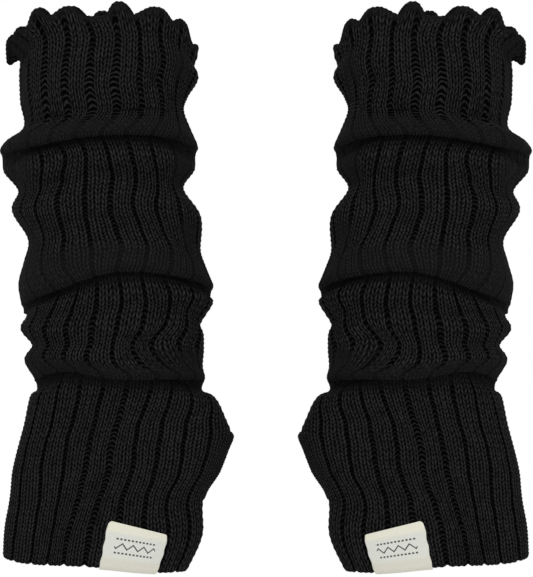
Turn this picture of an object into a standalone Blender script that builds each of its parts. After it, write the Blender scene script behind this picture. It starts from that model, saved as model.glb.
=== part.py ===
"""Pair of slouched rib-knit arm warmers: frilled elbow ends, thumb holes and folded hem labels.

Each sleeve is one knit tube, kept in the filled-out, slouched shape that it has on a forearm: three rolls whose
lower lips overhang the cloth below them, and softer folds between. All sizes are in millimetres until a mesh is
made. One sleeve is worked out about its own arm: +X towards the thumb, -Y to the front, Z up from the lowest point
of the hand hem. It stands on the left of the pair as it is, and on the right as its mirror image.
"""

from collections import namedtuple

import bpy
import numpy as np

MILLIMETRE = 0.001

# Driving sizes
ARM_SPACING = 162.0  # between the two arms' axes
HELD_HEIGHT = 147.0  # of the place where the forearms hold the pair, above the hem's lowest point
WALL = 2.0  # cloth between the ribs
RIB_COUNT = 20
RIB_RAISE = 1.3  # of a rib's three knit wales over the purl wale beside it
FIRST_LADDER = 0.4  # purl wale's place, as a share of a rib's pitch past the thumb side
THUMB_SEAM_GAP = 0.45

# The lips: how the cloth runs in and back up behind a roll's lower edge, before it goes on down
LIP_INSET = 6.4
LIP_GAP = 1.9
LIP_FULL = 0.7  # share of the sleeve's half depth beyond which a lip overhangs in full

WAVE_CREST = 0.12  # share of a frill wave's half width that is level

FRILL_EDGING = 3.0  # height of the overlocked edge on the frill
EDGING_SWELL = 0.6  # how far it stands out from the cloth on each face
FRILL_SEAM_GAP = 1.2  # wider than the other seams, because it narrows where a wave's side climbs
FRILL_SEAM = FRILL_EDGING + FRILL_SEAM_GAP / 2

THUMB_SLIT = 60.0  # the gap left in the knit, measured along the cloth
THUMB_SPREAD = 12.5  # how far the thumb opens it to each side
THUMB_MIDDLE = 56.0  # height of its middle
THUMB_EDGING = 1.5  # radius of the overlocked edge round it

LABEL_WIDTH = 30.0
LABEL_HEIGHT = 20.2  # of cloth that its middle covers
LABEL_SLANT = 0.34  # how much more of the cloth its outer side covers than its thumb side, as a share
LABEL_THICKNESS = 1.0
LABEL_PLACE = 16.77  # its middle, in ribs round the hem from the thumb slit
LABEL_GAP = 0.5  # between the label and the cloth, whose facets bow a little under it
LABEL_BACK_GAP = 0.4  # added inside, where the cloth's facets are wider
LABEL_HEM_DROP = 0.3  # how much lower still its fold hangs below the hem

# How finely the meshes are cut
RIB_PITCH = 13.0  # of one rib and one ladder, as measured on the flat cloth
COLUMNS_PER_RIB = 3
FRILL_COLUMNS = 80
LONGEST_ROW = 15.0
SLIT_ROWS = 7
HEM_ROWS = 2
THUMB_EDGING_SIDES = 6
LABEL_COLUMNS = 6
LABEL_ROWS = 5
GRID_STEP = 0.5
NORMAL_STEP = 0.6
LONGEST_MITRE = 1.4
TINY = 1e-6

# One row for each fold, from the frilled edge down to the hem. First the fold's height at the thumb side, back,
# outer side, front outer quarter, front and front thumb quarter, then how far the cloth reaches from the arm's
# axis: to the outer side and the thumb side, to the front and to the back. Then the height that the cloth runs
# back up behind the fold's lip, and how much of the ribs' relief the stretched cloth keeps there.
Fold = namedtuple(
    "Fold", "name thumb back outer outer_front front thumb_front outer_x thumb_x front_y back_y tuck relief"
)
FOLDS = [
    Fold("frill edge", 268.0, 284.0, 262.0, 284.0, 286.0, 285.0, -51.5, 45.5, 39.0, 38.5, 0, 0.0),
    Fold("frill root", 261.0, 275.0, 267.0, 276.0, 277.0, 276.0, -44.5, 42.5, 37.0, 37.0, 0, 1.0),
    Fold("cuff top", 256.0, 265.0, 257.0, 266.0, 267.0, 266.0, -44.4, 44.8, 38.0, 38.0, 0, 1.0),
    Fold("cuff middle", 246.0, 251.0, 244.0, 252.0, 253.0, 253.0, -44.0, 39.3, 38.5, 38.0, 0, 1.0),
    Fold("cuff foot", 237.0, 236.0, 229.0, 232.0, 236.5, 238.0, -43.0, 38.0, 36.5, 36.0, 0, 0.8),
    Fold("roll 1", 227.5, 230.0, 222.5, 226.5, 231.0, 232.0, -52.3, 42.5, 42.5, 42.0, 0, 0.4),
    Fold("roll 1 lip", 217.5, 223.5, 216.0, 220.0, 225.5, 225.0, -55.1, 45.8, 42.0, 41.0, 3, 0.3),
    Fold("swell 2", 209.0, 214.5, 207.5, 212.0, 216.5, 215.0, -52.5, 43.5, 39.0, 38.5, 0, 1.0),
    Fold("crease 2", 199.0, 204.0, 198.0, 200.0, 206.0, 202.5, -45.0, 37.5, 35.5, 36.0, 0, 0.9),
    Fold("swell 3", 184.5, 191.0, 188.0, 189.0, 193.0, 189.5, -48.0, 46.0, 40.0, 39.5, 0, 1.0),
    Fold("crease 3", 165.0, 175.5, 171.0, 174.0, 178.0, 174.5, -40.0, 46.5, 36.0, 36.0, 0, 0.8),
    Fold("roll 2 top", 157.0, 166.0, 160.0, 163.0, 168.5, 165.0, -43.0, 50.0, 39.5, 39.0, 0, 0.5),
    Fold("roll 2", 151.5, 159.5, 148.5, 154.5, 161.0, 158.5, -45.5, 52.5, 42.5, 42.0, 0, 0.4),
    Fold("roll 2 lip", 146.5, 154.0, 138.5, 146.0, 156.0, 153.5, -44.3, 53.6, 41.5, 41.0, 5, 0.3),
    Fold("swell 4", 140.0, 144.5, 135.0, 139.5, 145.5, 145.0, -40.4, 52.2, 37.0, 37.0, 0, 1.0),
    Fold("crease 4", 129.5, 136.0, 132.0, 134.0, 137.0, 137.5, -41.0, 46.0, 34.5, 35.0, 0, 0.9),
    Fold("swell 5", 124.0, 127.0, 127.0, 127.0, 128.0, 128.0, -43.5, 47.5, 36.5, 36.5, 0, 1.0),
    Fold("crease 5", 116.0, 118.5, 118.5, 119.0, 118.5, 118.0, -37.8, 47.8, 35.5, 35.5, 0, 1.0),
    Fold("roll 3", 107.0, 109.0, 110.0, 111.5, 108.5, 107.5, -42.0, 47.8, 38.5, 38.0, 0, 0.6),
    Fold("roll 3 lip", 99.5, 102.5, 99.5, 105.5, 101.5, 101.5, -37.4, 49.2, 37.5, 37.0, 4, 0.4),
    Fold("wrist", 91.5, 92.5, 91.5, 93.0, 92.0, 91.5, -38.6, 53.8, 30.5, 31.0, 0, 1.0),
    Fold("palm top", 80.0, 80.0, 78.0, 80.0, 80.0, 80.0, -41.5, 59.5, 28.5, 29.0, 0, 1.0),
    Fold("thumb top", 69.5, 69.5, 66.5, 68.0, 69.5, 69.5, -44.5, 64.5, 27.5, 28.0, 0, 1.0),
    Fold("thumb middle", 55.0, 54.5, 54.0, 54.5, 54.5, 55.0, -47.5, 62.0, 27.0, 27.5, 0, 1.0),
    Fold("thumb foot", 39.0, 39.5, 39.5, 39.5, 39.5, 39.0, -49.0, 48.5, 26.5, 27.0, 0, 1.0),
    Fold("palm foot", 21.0, 23.5, 25.0, 24.0, 23.0, 21.0, -51.7, 47.2, 26.0, 26.5, 0, 0.9),
    Fold("hem", 0.8, 6.0, 10.8, 7.9, 6.4, 1.8, -52.8, 38.2, 25.5, 25.5, 0, 0.7),
]

# The rings of a lip, from the roll over its lower edge, up behind it and down again. Where the lip is full, each lies
# this far in from the roll's outline and this far above the lip, with a share of the fold's tuck added; the last two
# columns are the same at the sides, where the lip dies out in a plain crease.
LipRing = namedtuple("LipRing", "inset rise tuck_share side_inset side_rise")
LIP_RINGS = [
    LipRing(0.0, 2.0, 0.0, 0.0, 2.4),
    LipRing(LIP_INSET / 2, 0.0, 0.0, 0.2, 0.9),
    LipRing(LIP_INSET, 2.4, 0.0, 0.6, -0.5),
    LipRing(LIP_INSET + LIP_GAP / 2, 0.0, 1.0, 0.9, -1.9),
    LipRing(LIP_INSET + LIP_GAP, 1.8, 0.0, 1.0, -3.3),
]

# Where the ribs run at each fold: how far they have swung towards the thumb, in ribs, at the sides and back, at
# the front outer quarter, at the front and at the front thumb quarter.
Swing = namedtuple("Swing", "name around outer_front front thumb_front")
SWINGS = [
    Swing("frill edge", 0.0, 0.0, 0.0, -0.3),
    Swing("frill root", 0.0, 0.0, 0.0, -0.3),
    Swing("cuff top", 0.0, 0.0, -0.05, -0.2),
    Swing("cuff middle", 0.0, 0.05, 0.05, 0.1),
    Swing("cuff foot", 0.0, 0.0, 0.2, 0.4),
    Swing("roll 1", 0.0, -0.1, 0.0, 0.0),
    Swing("roll 1 lip", 0.0, -0.15, -0.3, -0.4),
    Swing("swell 2", 0.0, 0.45, 0.0, -0.3),
    Swing("crease 2", 0.0, -0.1, 0.1, 0.2),
    Swing("swell 3", 0.0, -0.25, -0.2, -0.5),
    Swing("crease 3", -0.1, -0.6, -0.4, -0.3),
    Swing("roll 2 top", -0.1, -0.5, -0.2, -0.15),
    Swing("roll 2", -0.1, -0.15, -0.2, -0.3),
    Swing("roll 2 lip", 0.0, 0.15, -0.3, -0.4),
    Swing("swell 4", 0.0, 0.0, -0.25, -0.4),
    Swing("crease 4", 0.0, -0.15, -0.1, 0.0),
    Swing("swell 5", 0.0, -0.2, -0.15, -0.2),
    Swing("crease 5", -0.2, -0.5, -0.5, -0.9),
    Swing("roll 3", -0.1, -0.35, -0.35, -0.1),
    Swing("roll 3 lip", 0.0, -0.25, 0.0, 0.35),
    Swing("wrist", -0.1, -0.2, -0.25, -0.2),
    Swing("palm top", -0.3, -0.4, -0.6, -0.65),
    Swing("thumb top", -0.4, -0.6, -0.85, -0.85),
    Swing("thumb middle", -0.4, -0.55, -0.8, -0.75),
    Swing("thumb foot", -0.4, -0.3, -0.65, -0.5),
    Swing("palm foot", -0.4, -0.3, -0.9, -0.5),
    Swing("hem", -0.4, -0.3, -0.8, -0.45),
]

# The waves of the lettuce frill: each crest's place in ribs round from the thumb side, its half width in ribs, how
# far it rises, and how far it leans out (or in, below zero).
Wave = namedtuple("Wave", "place half_width rise lean")
WAVES = [
    Wave(0.7, 0.75, 4.0, -2.5),
    Wave(2.1, 0.70, 6.0, 3.0),
    Wave(3.5, 0.75, 4.5, -3.0),
    Wave(4.9, 0.70, 7.0, 2.5),
    Wave(6.3, 0.80, 4.5, -2.2),
    Wave(7.5, 0.90, 4.0, 1.5),
    Wave(9.0, 0.60, 4.0, -2.0),
    Wave(10.3, 0.95, 9.0, 1.2),
    Wave(11.4, 0.60, 3.0, 1.5),
    Wave(12.6, 0.60, 5.5, 1.0),
    Wave(13.75, 0.75, 5.0, -2.5),
    Wave(15.65, 0.55, 7.6, -2.5),
    Wave(16.95, 0.90, 4.4, 2.5),
    Wave(18.4, 0.70, 4.5, 0.5),
    Wave(19.75, 0.45, 2.5, 1.2),
]

# Single creases and ridges pressed into the cloth: the middle's place in ribs and height, the way it runs (degrees
# up from level, towards the thumb at the front), its half length and half width, and how far it stands out (in,
# below zero).
Crease = namedtuple("Crease", "place height slope half_length half_width depth")
CREASES = [
    Crease(17.0, 249.0, 70, 11, 6, -1.8),
    Crease(10.8, 268.0, 0, 6, 4, -2.0),
    Crease(11.0, 212.0, -55, 9, 4, -2.2),
    Crease(11.9, 206.0, 60, 8, 5, 1.8),
    Crease(16.6, 123.0, 25, 13, 5, -2.6),
    Crease(17.2, 115.0, -40, 13, 4, 2.6),
    Crease(17.0, 109.5, -30, 14, 4, -2.2),
    Crease(18.6, 118.0, 60, 9, 4, -2.4),
    Crease(6.6, 248.0, 80, 12, 6, -1.6),
    Crease(7.8, 208.0, 40, 10, 5, -2.2),
    Crease(3.2, 186.0, -30, 12, 6, -2.0),
    Crease(4.4, 121.0, 30, 13, 5, -2.4),
    Crease(3.4, 113.0, -30, 12, 5, 2.2),
    Crease(7.2, 74.0, 70, 14, 7, -1.2),
]

QUARTER_ANGLES = np.radians([0.0, 90.0, 180.0, 225.0, 270.0, 315.0])
QUARTER_RIBS = np.array([0.0, 5.0, 10.0, 12.5, 15.0, 17.5])
RING_STEPS = 360
RING_ANGLES = np.arange(RING_STEPS) * 2 * np.pi / RING_STEPS


def smooth_curve(knots, values, places, period=None):
    """A curve through each row of values at its knot, read at the places; it closes on itself after a period."""
    knots = np.asarray(knots, float)
    values = np.asarray(values, float)
    places = np.asarray(places, float)
    if period is not None:
        knots = np.concatenate([knots[-2:] - period, knots, knots[:2] + period])
        values = np.concatenate([values[-2:], values, values[:2]])
        places = np.mod(places, period)
    spans = np.diff(knots)
    rises = np.diff(values, axis=0) / spans[:, None]
    slopes = np.empty_like(values)
    slopes[1:-1] = (rises[:-1] * spans[1:, None] + rises[1:] * spans[:-1, None]) / (spans[1:] + spans[:-1])[:, None]
    slopes[0] = rises[0]
    slopes[-1] = rises[-1]
    first = np.clip(np.searchsorted(knots, places, side="right") - 1, 0, len(knots) - 2)
    span = spans[first][:, None]
    share = (places[:, None] - knots[first][:, None]) / span
    rest = 1 - share
    return (
        values[first] * rest**2 * (1 + 2 * share)
        + values[first + 1] * share**2 * (1 + 2 * rest)
        + slopes[first] * span * share * rest**2
        - slopes[first + 1] * span * share**2 * rest
    )


def smooth_step(share):
    """0 to 1 with level ends."""
    share = np.clip(share, 0, 1)
    return share * share * (3 - 2 * share)


def fold_ring(fold):
    """The closed ring of points that a fold's row gives."""
    quarters = [fold.thumb, fold.back, fold.outer, fold.outer_front, fold.front, fold.thumb_front]
    heights = smooth_curve(QUARTER_ANGLES, np.array(quarters)[:, None], RING_ANGLES, 2 * np.pi)[:, 0]
    middle = (fold.outer_x + fold.thumb_x) / 2
    half = (fold.thumb_x - fold.outer_x) / 2
    depth = np.where(np.sin(RING_ANGLES) < 0, fold.front_y, fold.back_y)
    return np.stack([middle + half * np.cos(RING_ANGLES), depth * np.sin(RING_ANGLES), heights], axis=1)


def lip_rings(fold):
    """The rings of a roll's lip: over its lower edge, back up behind it, and down again. It dies out at the sides."""
    ring = fold_ring(fold)
    middle = np.array([(fold.outer_x + fold.thumb_x) / 2, 0.0, 0.0])
    outward = (ring - middle) * [1, 1, 0]
    outward /= np.linalg.norm(outward, axis=1)[:, None]
    full = smooth_step(np.abs(np.sin(RING_ANGLES)) / LIP_FULL)[:, None]
    apart = np.sqrt(full)  # the two walls part before the upper one overhangs
    rings = []
    for row in LIP_RINGS:
        inward = row.inset * apart + row.side_inset * (1 - apart)
        upward = (row.rise + fold.tuck * row.tuck_share) * full + row.side_rise * (1 - full)
        rings.append(ring - outward * inward + np.array([0.0, 0.0, 1.0]) * upward)
    return rings


def all_rings():
    """Every ring from the frill down to the hem, with how far down the cloth it lies, its swings and its relief."""
    rings = []
    swings = []
    relief = []
    for fold, swing in zip(FOLDS, SWINGS):
        found = lip_rings(fold) if fold.tuck else [fold_ring(fold)]
        rings.extend(found)
        swings.extend([swing[1:]] * len(found))
        relief.extend([fold.relief] * min(len(found), 2) + [0.0] * (len(found) - 2))
    rings = np.array(rings)
    steps = np.linalg.norm(np.diff(rings, axis=0), axis=2).mean(axis=1)
    down = np.concatenate([[0.0], np.cumsum(steps)])
    return rings, down, np.array(swings), np.array(relief)


RINGS, RINGS_DOWN, RING_SWINGS, RING_RELIEF = all_rings()
CLOTH_LENGTH = RINGS_DOWN[-1]


def down_at(name):
    """How far down the cloth a fold lies."""
    above = FOLDS[: [fold.name for fold in FOLDS].index(name)]
    return RINGS_DOWN[sum(len(LIP_RINGS) if fold.tuck else 1 for fold in above)]


HAND_RINGS = RINGS_DOWN >= down_at("wrist")
THUMB_DOWN = np.interp(-THUMB_MIDDLE, -RINGS[HAND_RINGS, 0, 2], RINGS_DOWN[HAND_RINGS])


def cloth_grid():
    """The plain cloth as an even grid: every half millimetre down it, and as many steps round each ring."""
    down = np.linspace(0, CLOTH_LENGTH, int(CLOTH_LENGTH / GRID_STEP) + 1)
    rings = smooth_curve(RINGS_DOWN, RINGS.reshape(len(RINGS), -1), down).reshape(len(down), RING_STEPS, 3)
    rings = np.concatenate([rings, rings[:, :1]], axis=1)
    lengths = np.linalg.norm(np.diff(rings, axis=1), axis=2)
    grid = np.empty_like(rings)
    for row, (ring, length) in enumerate(zip(rings, lengths)):
        run = np.concatenate([[0.0], np.cumsum(length)])
        even = np.linspace(0, run[-1], RING_STEPS + 1)
        for axis in range(3):
            grid[row, :, axis] = np.interp(even, run, ring[:, axis])
    return grid


GRID = cloth_grid()
GRID_SWINGS = smooth_curve(RINGS_DOWN, RING_SWINGS, np.linspace(0, CLOTH_LENGTH, len(GRID)))


def read_grid(grid, rows, columns):
    """Values between the grid's points, for places in grid rows and columns."""
    rows = np.clip(rows, 0, len(grid) - 1.001)
    columns = np.clip(columns, 0, grid.shape[1] - 1.001)
    row = rows.astype(int)
    column = columns.astype(int)
    down = (rows - row)[:, None]
    across = (columns - column)[:, None]
    upper = grid[row, column] * (1 - across) + grid[row, column + 1] * across
    lower = grid[row + 1, column] * (1 - across) + grid[row + 1, column + 1] * across
    return upper * (1 - down) + lower * down


def open_thumb_hole(ribs, down):
    """Moves places on the cloth aside as the thumb opens its slit to an oval. The slit's sides are ribs 0 and 20."""
    near = ribs < RIB_COUNT / 2
    across = np.where(near, ribs, ribs - RIB_COUNT) * RIB_PITCH
    across = np.where(np.abs(across) < TINY, np.where(near, TINY, -TINY), across)
    along = down - THUMB_DOWN
    place = along + 1j * across
    half = THUMB_SLIT / 2
    circle = (place + np.sqrt(place - half) * np.sqrt(place + half)) / 2
    change = circle + (half / 2) * (half / 2 - THUMB_SPREAD) / circle - place
    fade = 1 - smooth_step((np.abs(place) - half) / (2 * half))
    return ribs + change.imag * fade / RIB_PITCH, down + change.real * fade


def ribs_between(places, middle):
    """How many ribs lie from the middle to each place, the short way round."""
    return np.mod(places - middle + RIB_COUNT / 2, RIB_COUNT) - RIB_COUNT / 2


def crease_offset(around, heights):
    """How far the single creases and ridges push the cloth out."""
    offset = np.zeros_like(heights)
    for crease in CREASES:
        aside = ribs_between(around, crease.place) * RIB_PITCH
        rise = heights - crease.height
        slope = np.radians(crease.slope)
        along = aside * np.cos(slope) + rise * np.sin(slope)
        across = rise * np.cos(slope) - aside * np.sin(slope)
        offset += crease.depth * np.exp(-((along / crease.half_length) ** 2) - (across / crease.half_width) ** 2)
    return offset


def wave_offset(around):
    """The frill's rise and lean at each place round its edge."""
    rise = np.zeros_like(around)
    lean = np.zeros_like(around)
    for wave in WAVES:
        aside = np.abs(ribs_between(around, wave.place)) / wave.half_width
        bump = 1 - smooth_step((aside - WAVE_CREST) / (1 - WAVE_CREST))
        rise += wave.rise * bump
        lean += wave.lean * bump
    return rise, lean


def cloth_points(ribs, down):
    """The cloth's smooth outer face, at places in ribs round from the thumb slit and millimetres down the cloth."""
    ribs, down = np.broadcast_arrays(np.asarray(ribs, float), np.asarray(down, float))
    shape = ribs.shape
    ribs, down = open_thumb_hole(ribs.ravel(), down.ravel())
    rows = down / CLOTH_LENGTH * (len(GRID) - 1)
    swings = read_grid(GRID_SWINGS[:, None].repeat(2, axis=1), rows, 0 * rows)
    around = ribs + FIRST_LADDER
    weights = smooth_curve(QUARTER_RIBS, np.eye(len(QUARTER_RIBS)), around, RIB_COUNT)
    swing = weights[:, :3].sum(axis=1) * swings[:, 0] + (weights[:, 3:] * swings[:, 1:]).sum(axis=1)
    around = np.mod(around + swing, RIB_COUNT)
    points = read_grid(GRID, rows, around / RIB_COUNT * RING_STEPS)

    thumb_side = read_grid(GRID, rows, 0 * rows)
    outer_side = read_grid(GRID, rows, 0 * rows + RING_STEPS / 2)
    outward = points - (thumb_side + outer_side) / 2
    outward[:, 2] = 0
    outward /= np.linalg.norm(outward, axis=1)[:, None]
    rise, lean = wave_offset(around)
    frill = 1 - smooth_step(down / RINGS_DOWN[1])
    points += outward * (crease_offset(around, points[:, 2]) + lean * frill)[:, None]
    points[:, 2] += rise * frill
    return points.reshape(shape + (3,))


def across_cloth(ribs, down):
    """A short step round the smooth cloth; it doesn't cross the thumb slit, whose sides are ribs 0 and 20."""
    step = NORMAL_STEP / RIB_PITCH
    first_half = ribs < RIB_COUNT / 2
    left = np.where(first_half, np.maximum(ribs - step, 0), ribs - step)
    right = np.where(first_half, ribs + step, np.minimum(ribs + step, RIB_COUNT))
    return cloth_points(right, down) - cloth_points(left, down)


def cloth_normals(ribs, down):
    """Outward normals of the smooth cloth."""
    ribs, down = np.broadcast_arrays(np.asarray(ribs, float), np.asarray(down, float))
    below = cloth_points(ribs, np.minimum(down + NORMAL_STEP, CLOTH_LENGTH))
    above = cloth_points(ribs, np.maximum(down - NORMAL_STEP, 0))
    normals = np.cross(below - above, across_cloth(ribs, down))
    return normals / np.linalg.norm(normals, axis=-1)[..., None]


def row_normals(ribs, rows, number):
    """Outward steps for one millimetre of wall at a row of the mesh, square to the facets above and below it."""
    here = cloth_points(ribs, rows[number])
    ways = []
    for other in (number - 1, number + 1):
        if 0 <= other < len(rows):
            way = (cloth_points(ribs, rows[other]) - here) * (other - number)
            ways.append(way / np.linalg.norm(way, axis=1)[:, None])
    way = np.mean(ways, axis=0)
    normals = np.cross(way, across_cloth(ribs, rows[number]))
    normals /= np.linalg.norm(normals, axis=1)[:, None]
    return normals * np.minimum(1 / np.linalg.norm(way, axis=1), LONGEST_MITRE)[:, None]


class Mesh:
    """Points and faces of one piece, in millimetres about one arm."""

    def __init__(self):
        self.points = []
        self.faces = []

    def add_ring(self, points):
        """Adds points in a row and returns their numbers."""
        first = len(self.points)
        self.points.extend(points)
        return list(range(first, first + len(points)))

    def bridge(self, upper, lower, outward=True):
        """Faces between two rows of points that run the same way, one above the other, of any two counts."""
        i = 0
        j = 0
        last_i = len(upper) - 1
        last_j = len(lower) - 1
        while i < last_i or j < last_j:
            if len(upper) == len(lower):
                face = [upper[i], lower[i], lower[i + 1], upper[i + 1]]
                i += 1
                j += 1
            elif j == last_j or (i < last_i and (i + 1) / last_i <= (j + 1) / last_j):
                face = [upper[i], lower[j], upper[i + 1]]
                i += 1
            else:
                face = [upper[i], lower[j], lower[j + 1]]
                j += 1
            self.faces.append(face if outward else face[::-1])

    def make_object(self, name, material, side):
        """The piece as a Blender object on the left (-1) or mirrored on the right (+1) of the pair."""
        points = np.array(self.points, float)
        points[:, 0] = side * (ARM_SPACING / 2 - points[:, 0])
        points[:, 2] -= HELD_HEIGHT
        faces = [face[:1] + face[:0:-1] for face in self.faces] if side > 0 else self.faces
        mesh = bpy.data.meshes.new(name)
        mesh.from_pydata((points * MILLIMETRE).tolist(), [], faces)
        mesh.validate()
        mesh.shade_smooth()
        mesh.materials.append(material)
        piece = bpy.data.objects.new(name, mesh)
        bpy.context.scene.collection.objects.link(piece)
        return piece


def sleeve_rows():
    """How far down the cloth each ring of the sleeve's mesh lies, and which of them end on the thumb slit."""
    top = FRILL_EDGING + FRILL_SEAM_GAP
    wrist = down_at("wrist")
    rows = [top, (top + RINGS_DOWN[1]) / 2]
    for above, below in zip(RINGS_DOWN[1:], RINGS_DOWN[2:]):
        if above < wrist:
            rows.append(above)
            if below - above > LONGEST_ROW:
                rows.append((above + below) / 2)
    slit = THUMB_DOWN - THUMB_SLIT / 2 * np.cos(np.linspace(0, np.pi, SLIT_ROWS + 1))
    rows.append(wrist)
    rows.append((wrist + slit[0]) / 2)
    first = len(rows)
    rows.extend(slit)
    rows.extend(np.linspace(slit[-1], CLOTH_LENGTH, HEM_ROWS + 1)[1:])
    return np.array(rows), first, first + SLIT_ROWS


def sleeve_mesh():
    """The rib-knit tube: ribs raised on its outer face, a plain inside, an oval hole for the thumb."""
    rows, slit_top, slit_foot = sleeve_rows()
    relief = np.interp(rows, RINGS_DOWN, RING_RELIEF)
    ends = {0: FRILL_SEAM, len(rows) - 1: CLOTH_LENGTH}
    mesh = Mesh()
    outer = []
    inner = []
    for number, down in enumerate(rows):
        fine = number < 2
        for found, columns, inside in (
            (outer, FRILL_COLUMNS if fine else RIB_COUNT * COLUMNS_PER_RIB, False),
            (inner, FRILL_COLUMNS if fine else RIB_COUNT, True),
        ):
            ribs = np.linspace(0, RIB_COUNT, columns + 1)
            points = cloth_points(ribs, down)
            normals = cloth_normals(ribs, ends[number]) if number in ends else row_normals(ribs, rows, number)
            if inside:
                points = points - normals * WALL
            else:
                ladder = np.abs(ribs - np.round(ribs)) * COLUMNS_PER_RIB
                raised = RIB_RAISE * relief[number] * np.clip(ladder, 0, 1)
                points = points + normals * raised[:, None]
            if slit_top < number < slit_foot:
                ring = mesh.add_ring(points)
            else:
                ring = mesh.add_ring(points[:-1])
                ring.append(ring[0])
            found.append(ring)
    for above, below in zip(outer, outer[1:]):
        mesh.bridge(above, below)
    for above, below in zip(inner, inner[1:]):
        mesh.bridge(above, below, outward=False)
    mesh.bridge(inner[0], outer[0])
    mesh.bridge(outer[-1], inner[-1])
    slit = range(slit_top, slit_foot)
    for number in slit:
        mesh.faces.append([outer[number][0], inner[number][0], inner[number + 1][0], outer[number + 1][0]])
        mesh.faces.append([inner[number][-1], outer[number][-1], outer[number + 1][-1], inner[number + 1][-1]])
    return mesh


def closed_band(mesh, loops):
    """Joins closed loops of points one to the next and the last to the first, all with the same count."""
    rings = []
    for loop in loops:
        ring = mesh.add_ring(loop)
        ring.append(ring[0])
        rings.append(ring)
    for above, below in zip(rings, rings[1:] + rings[:1]):
        mesh.bridge(above, below)


def frill_edging_mesh():
    """The overlocked edge that closes the frill: a bead a little thicker than the cloth."""
    mesh = Mesh()
    ribs = np.linspace(0, RIB_COUNT, FRILL_COLUMNS + 1)[:-1]
    loops = []
    for down, offset in (
        (0.0, EDGING_SWELL),
        (FRILL_EDGING, 0.0),
        (FRILL_EDGING, -WALL),
        (0.0, -WALL - EDGING_SWELL),
    ):
        normals = cloth_normals(ribs, FRILL_SEAM if down else NORMAL_STEP)
        loops.append(cloth_points(ribs, down) + normals * offset)
    closed_band(mesh, loops)
    return mesh


def thumb_edging_mesh():
    """The overlocked edge round the thumb hole: a bead along the rim, just inside it."""
    mesh = Mesh()
    turn = np.arange(2 * SLIT_ROWS) * np.pi / SLIT_ROWS
    ribs = np.where(turn < np.pi, 0.0, float(RIB_COUNT))
    down = THUMB_DOWN - THUMB_SLIT / 2 * np.cos(turn)
    rim = cloth_points(ribs, down)
    normals = cloth_normals(ribs, down)
    before = rim - np.roll(rim, 1, axis=0)
    after = np.roll(rim, -1, axis=0) - rim
    before /= np.linalg.norm(before, axis=1)[:, None]
    after /= np.linalg.norm(after, axis=1)[:, None]
    inward = np.cross(normals, before + after)
    inward /= np.linalg.norm(inward, axis=1)[:, None]
    inward *= np.sign(((rim.mean(axis=0) - rim) * inward).sum(axis=1))[:, None]
    mitre = 2 / np.linalg.norm(before + after, axis=1)[:, None]
    line = rim - normals * (WALL / 2) + inward * (THUMB_EDGING + THUMB_SEAM_GAP) * mitre
    loops = []
    for angle in np.arange(THUMB_EDGING_SIDES) * 2 * np.pi / THUMB_EDGING_SIDES:
        loops.append(line + THUMB_EDGING * (np.cos(angle) * inward - np.sin(angle) * normals))
    closed_band(mesh, loops)
    return mesh


def inner_face(ribs, down):
    """Points on the sleeve's plain inner face, which has one flat facet for each rib."""
    first = np.floor(ribs)
    share = (ribs - first)[:, None]
    left = cloth_points(first, down) - cloth_normals(first, down) * WALL
    right = cloth_points(first + 1, down) - cloth_normals(first + 1, down) * WALL
    return left * (1 - share) + right * share


def label_mesh():
    """The woven label: one strip folded over the hem, its front panel on the ribs, its back panel on the inside."""
    mesh = Mesh()
    shares = np.linspace(-0.5, 0.5, LABEL_COLUMNS + 1)
    columns = shares * LABEL_WIDTH / RIB_PITCH + LABEL_PLACE
    slant = 1 - LABEL_SLANT * shares
    hem = cloth_points(columns, CLOTH_LENGTH)
    way = hem - cloth_points(columns, CLOTH_LENGTH - 4 * NORMAL_STEP)
    way /= np.linalg.norm(way, axis=1)[:, None]
    panel = np.linspace(-LABEL_HEIGHT, 0, LABEL_ROWS + 1)

    def strip(lift):
        """The rings of one face of the label, lifted off the cloth: front panel, fold, back panel."""
        rings = []
        for along in panel:
            down = CLOTH_LENGTH + along * slant
            normals = cloth_normals(columns, down)
            rings.append(cloth_points(columns, down) + normals * (RIB_RAISE + lift))
        normals = cloth_normals(columns, CLOTH_LENGTH)
        back = inner_face(columns, CLOTH_LENGTH)
        rings.append(hem + normals * RIB_RAISE + way * (lift + LABEL_HEM_DROP))
        rings.append(back + way * (lift + LABEL_HEM_DROP))
        for along in panel[::-1]:
            down = CLOTH_LENGTH + along * slant
            rings.append(inner_face(columns, down) - cloth_normals(columns, down) * (lift + LABEL_BACK_GAP))
        return [mesh.add_ring(ring) for ring in rings]

    near = strip(LABEL_GAP)
    far = strip(LABEL_GAP + LABEL_THICKNESS)
    for above, below in zip(far, far[1:]):
        mesh.bridge(above, below)
    for above, below in zip(near, near[1:]):
        mesh.bridge(above, below, outward=False)
    mesh.bridge(near[0], far[0])
    mesh.bridge(far[-1], near[-1])
    for number in range(len(near) - 1):
        mesh.faces.append([near[number][0], near[number + 1][0], far[number + 1][0], far[number][0]])
        mesh.faces.append([far[number][-1], far[number + 1][-1], near[number + 1][-1], near[number][-1]])
    return mesh


def make_material(name, colour, roughness):
    """A plain material for one kind of cloth."""
    material = bpy.data.materials.new(name)
    material.use_nodes = True
    shader = material.node_tree.nodes["Principled BSDF"]
    shader.inputs["Base Color"].default_value = (*colour, 1.0)
    shader.inputs["Roughness"].default_value = roughness
    shader.inputs["Metallic"].default_value = 0.0
    material.diffuse_color = (*colour, 1.0)
    return material


for old in list(bpy.data.objects):
    bpy.data.objects.remove(old)

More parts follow.
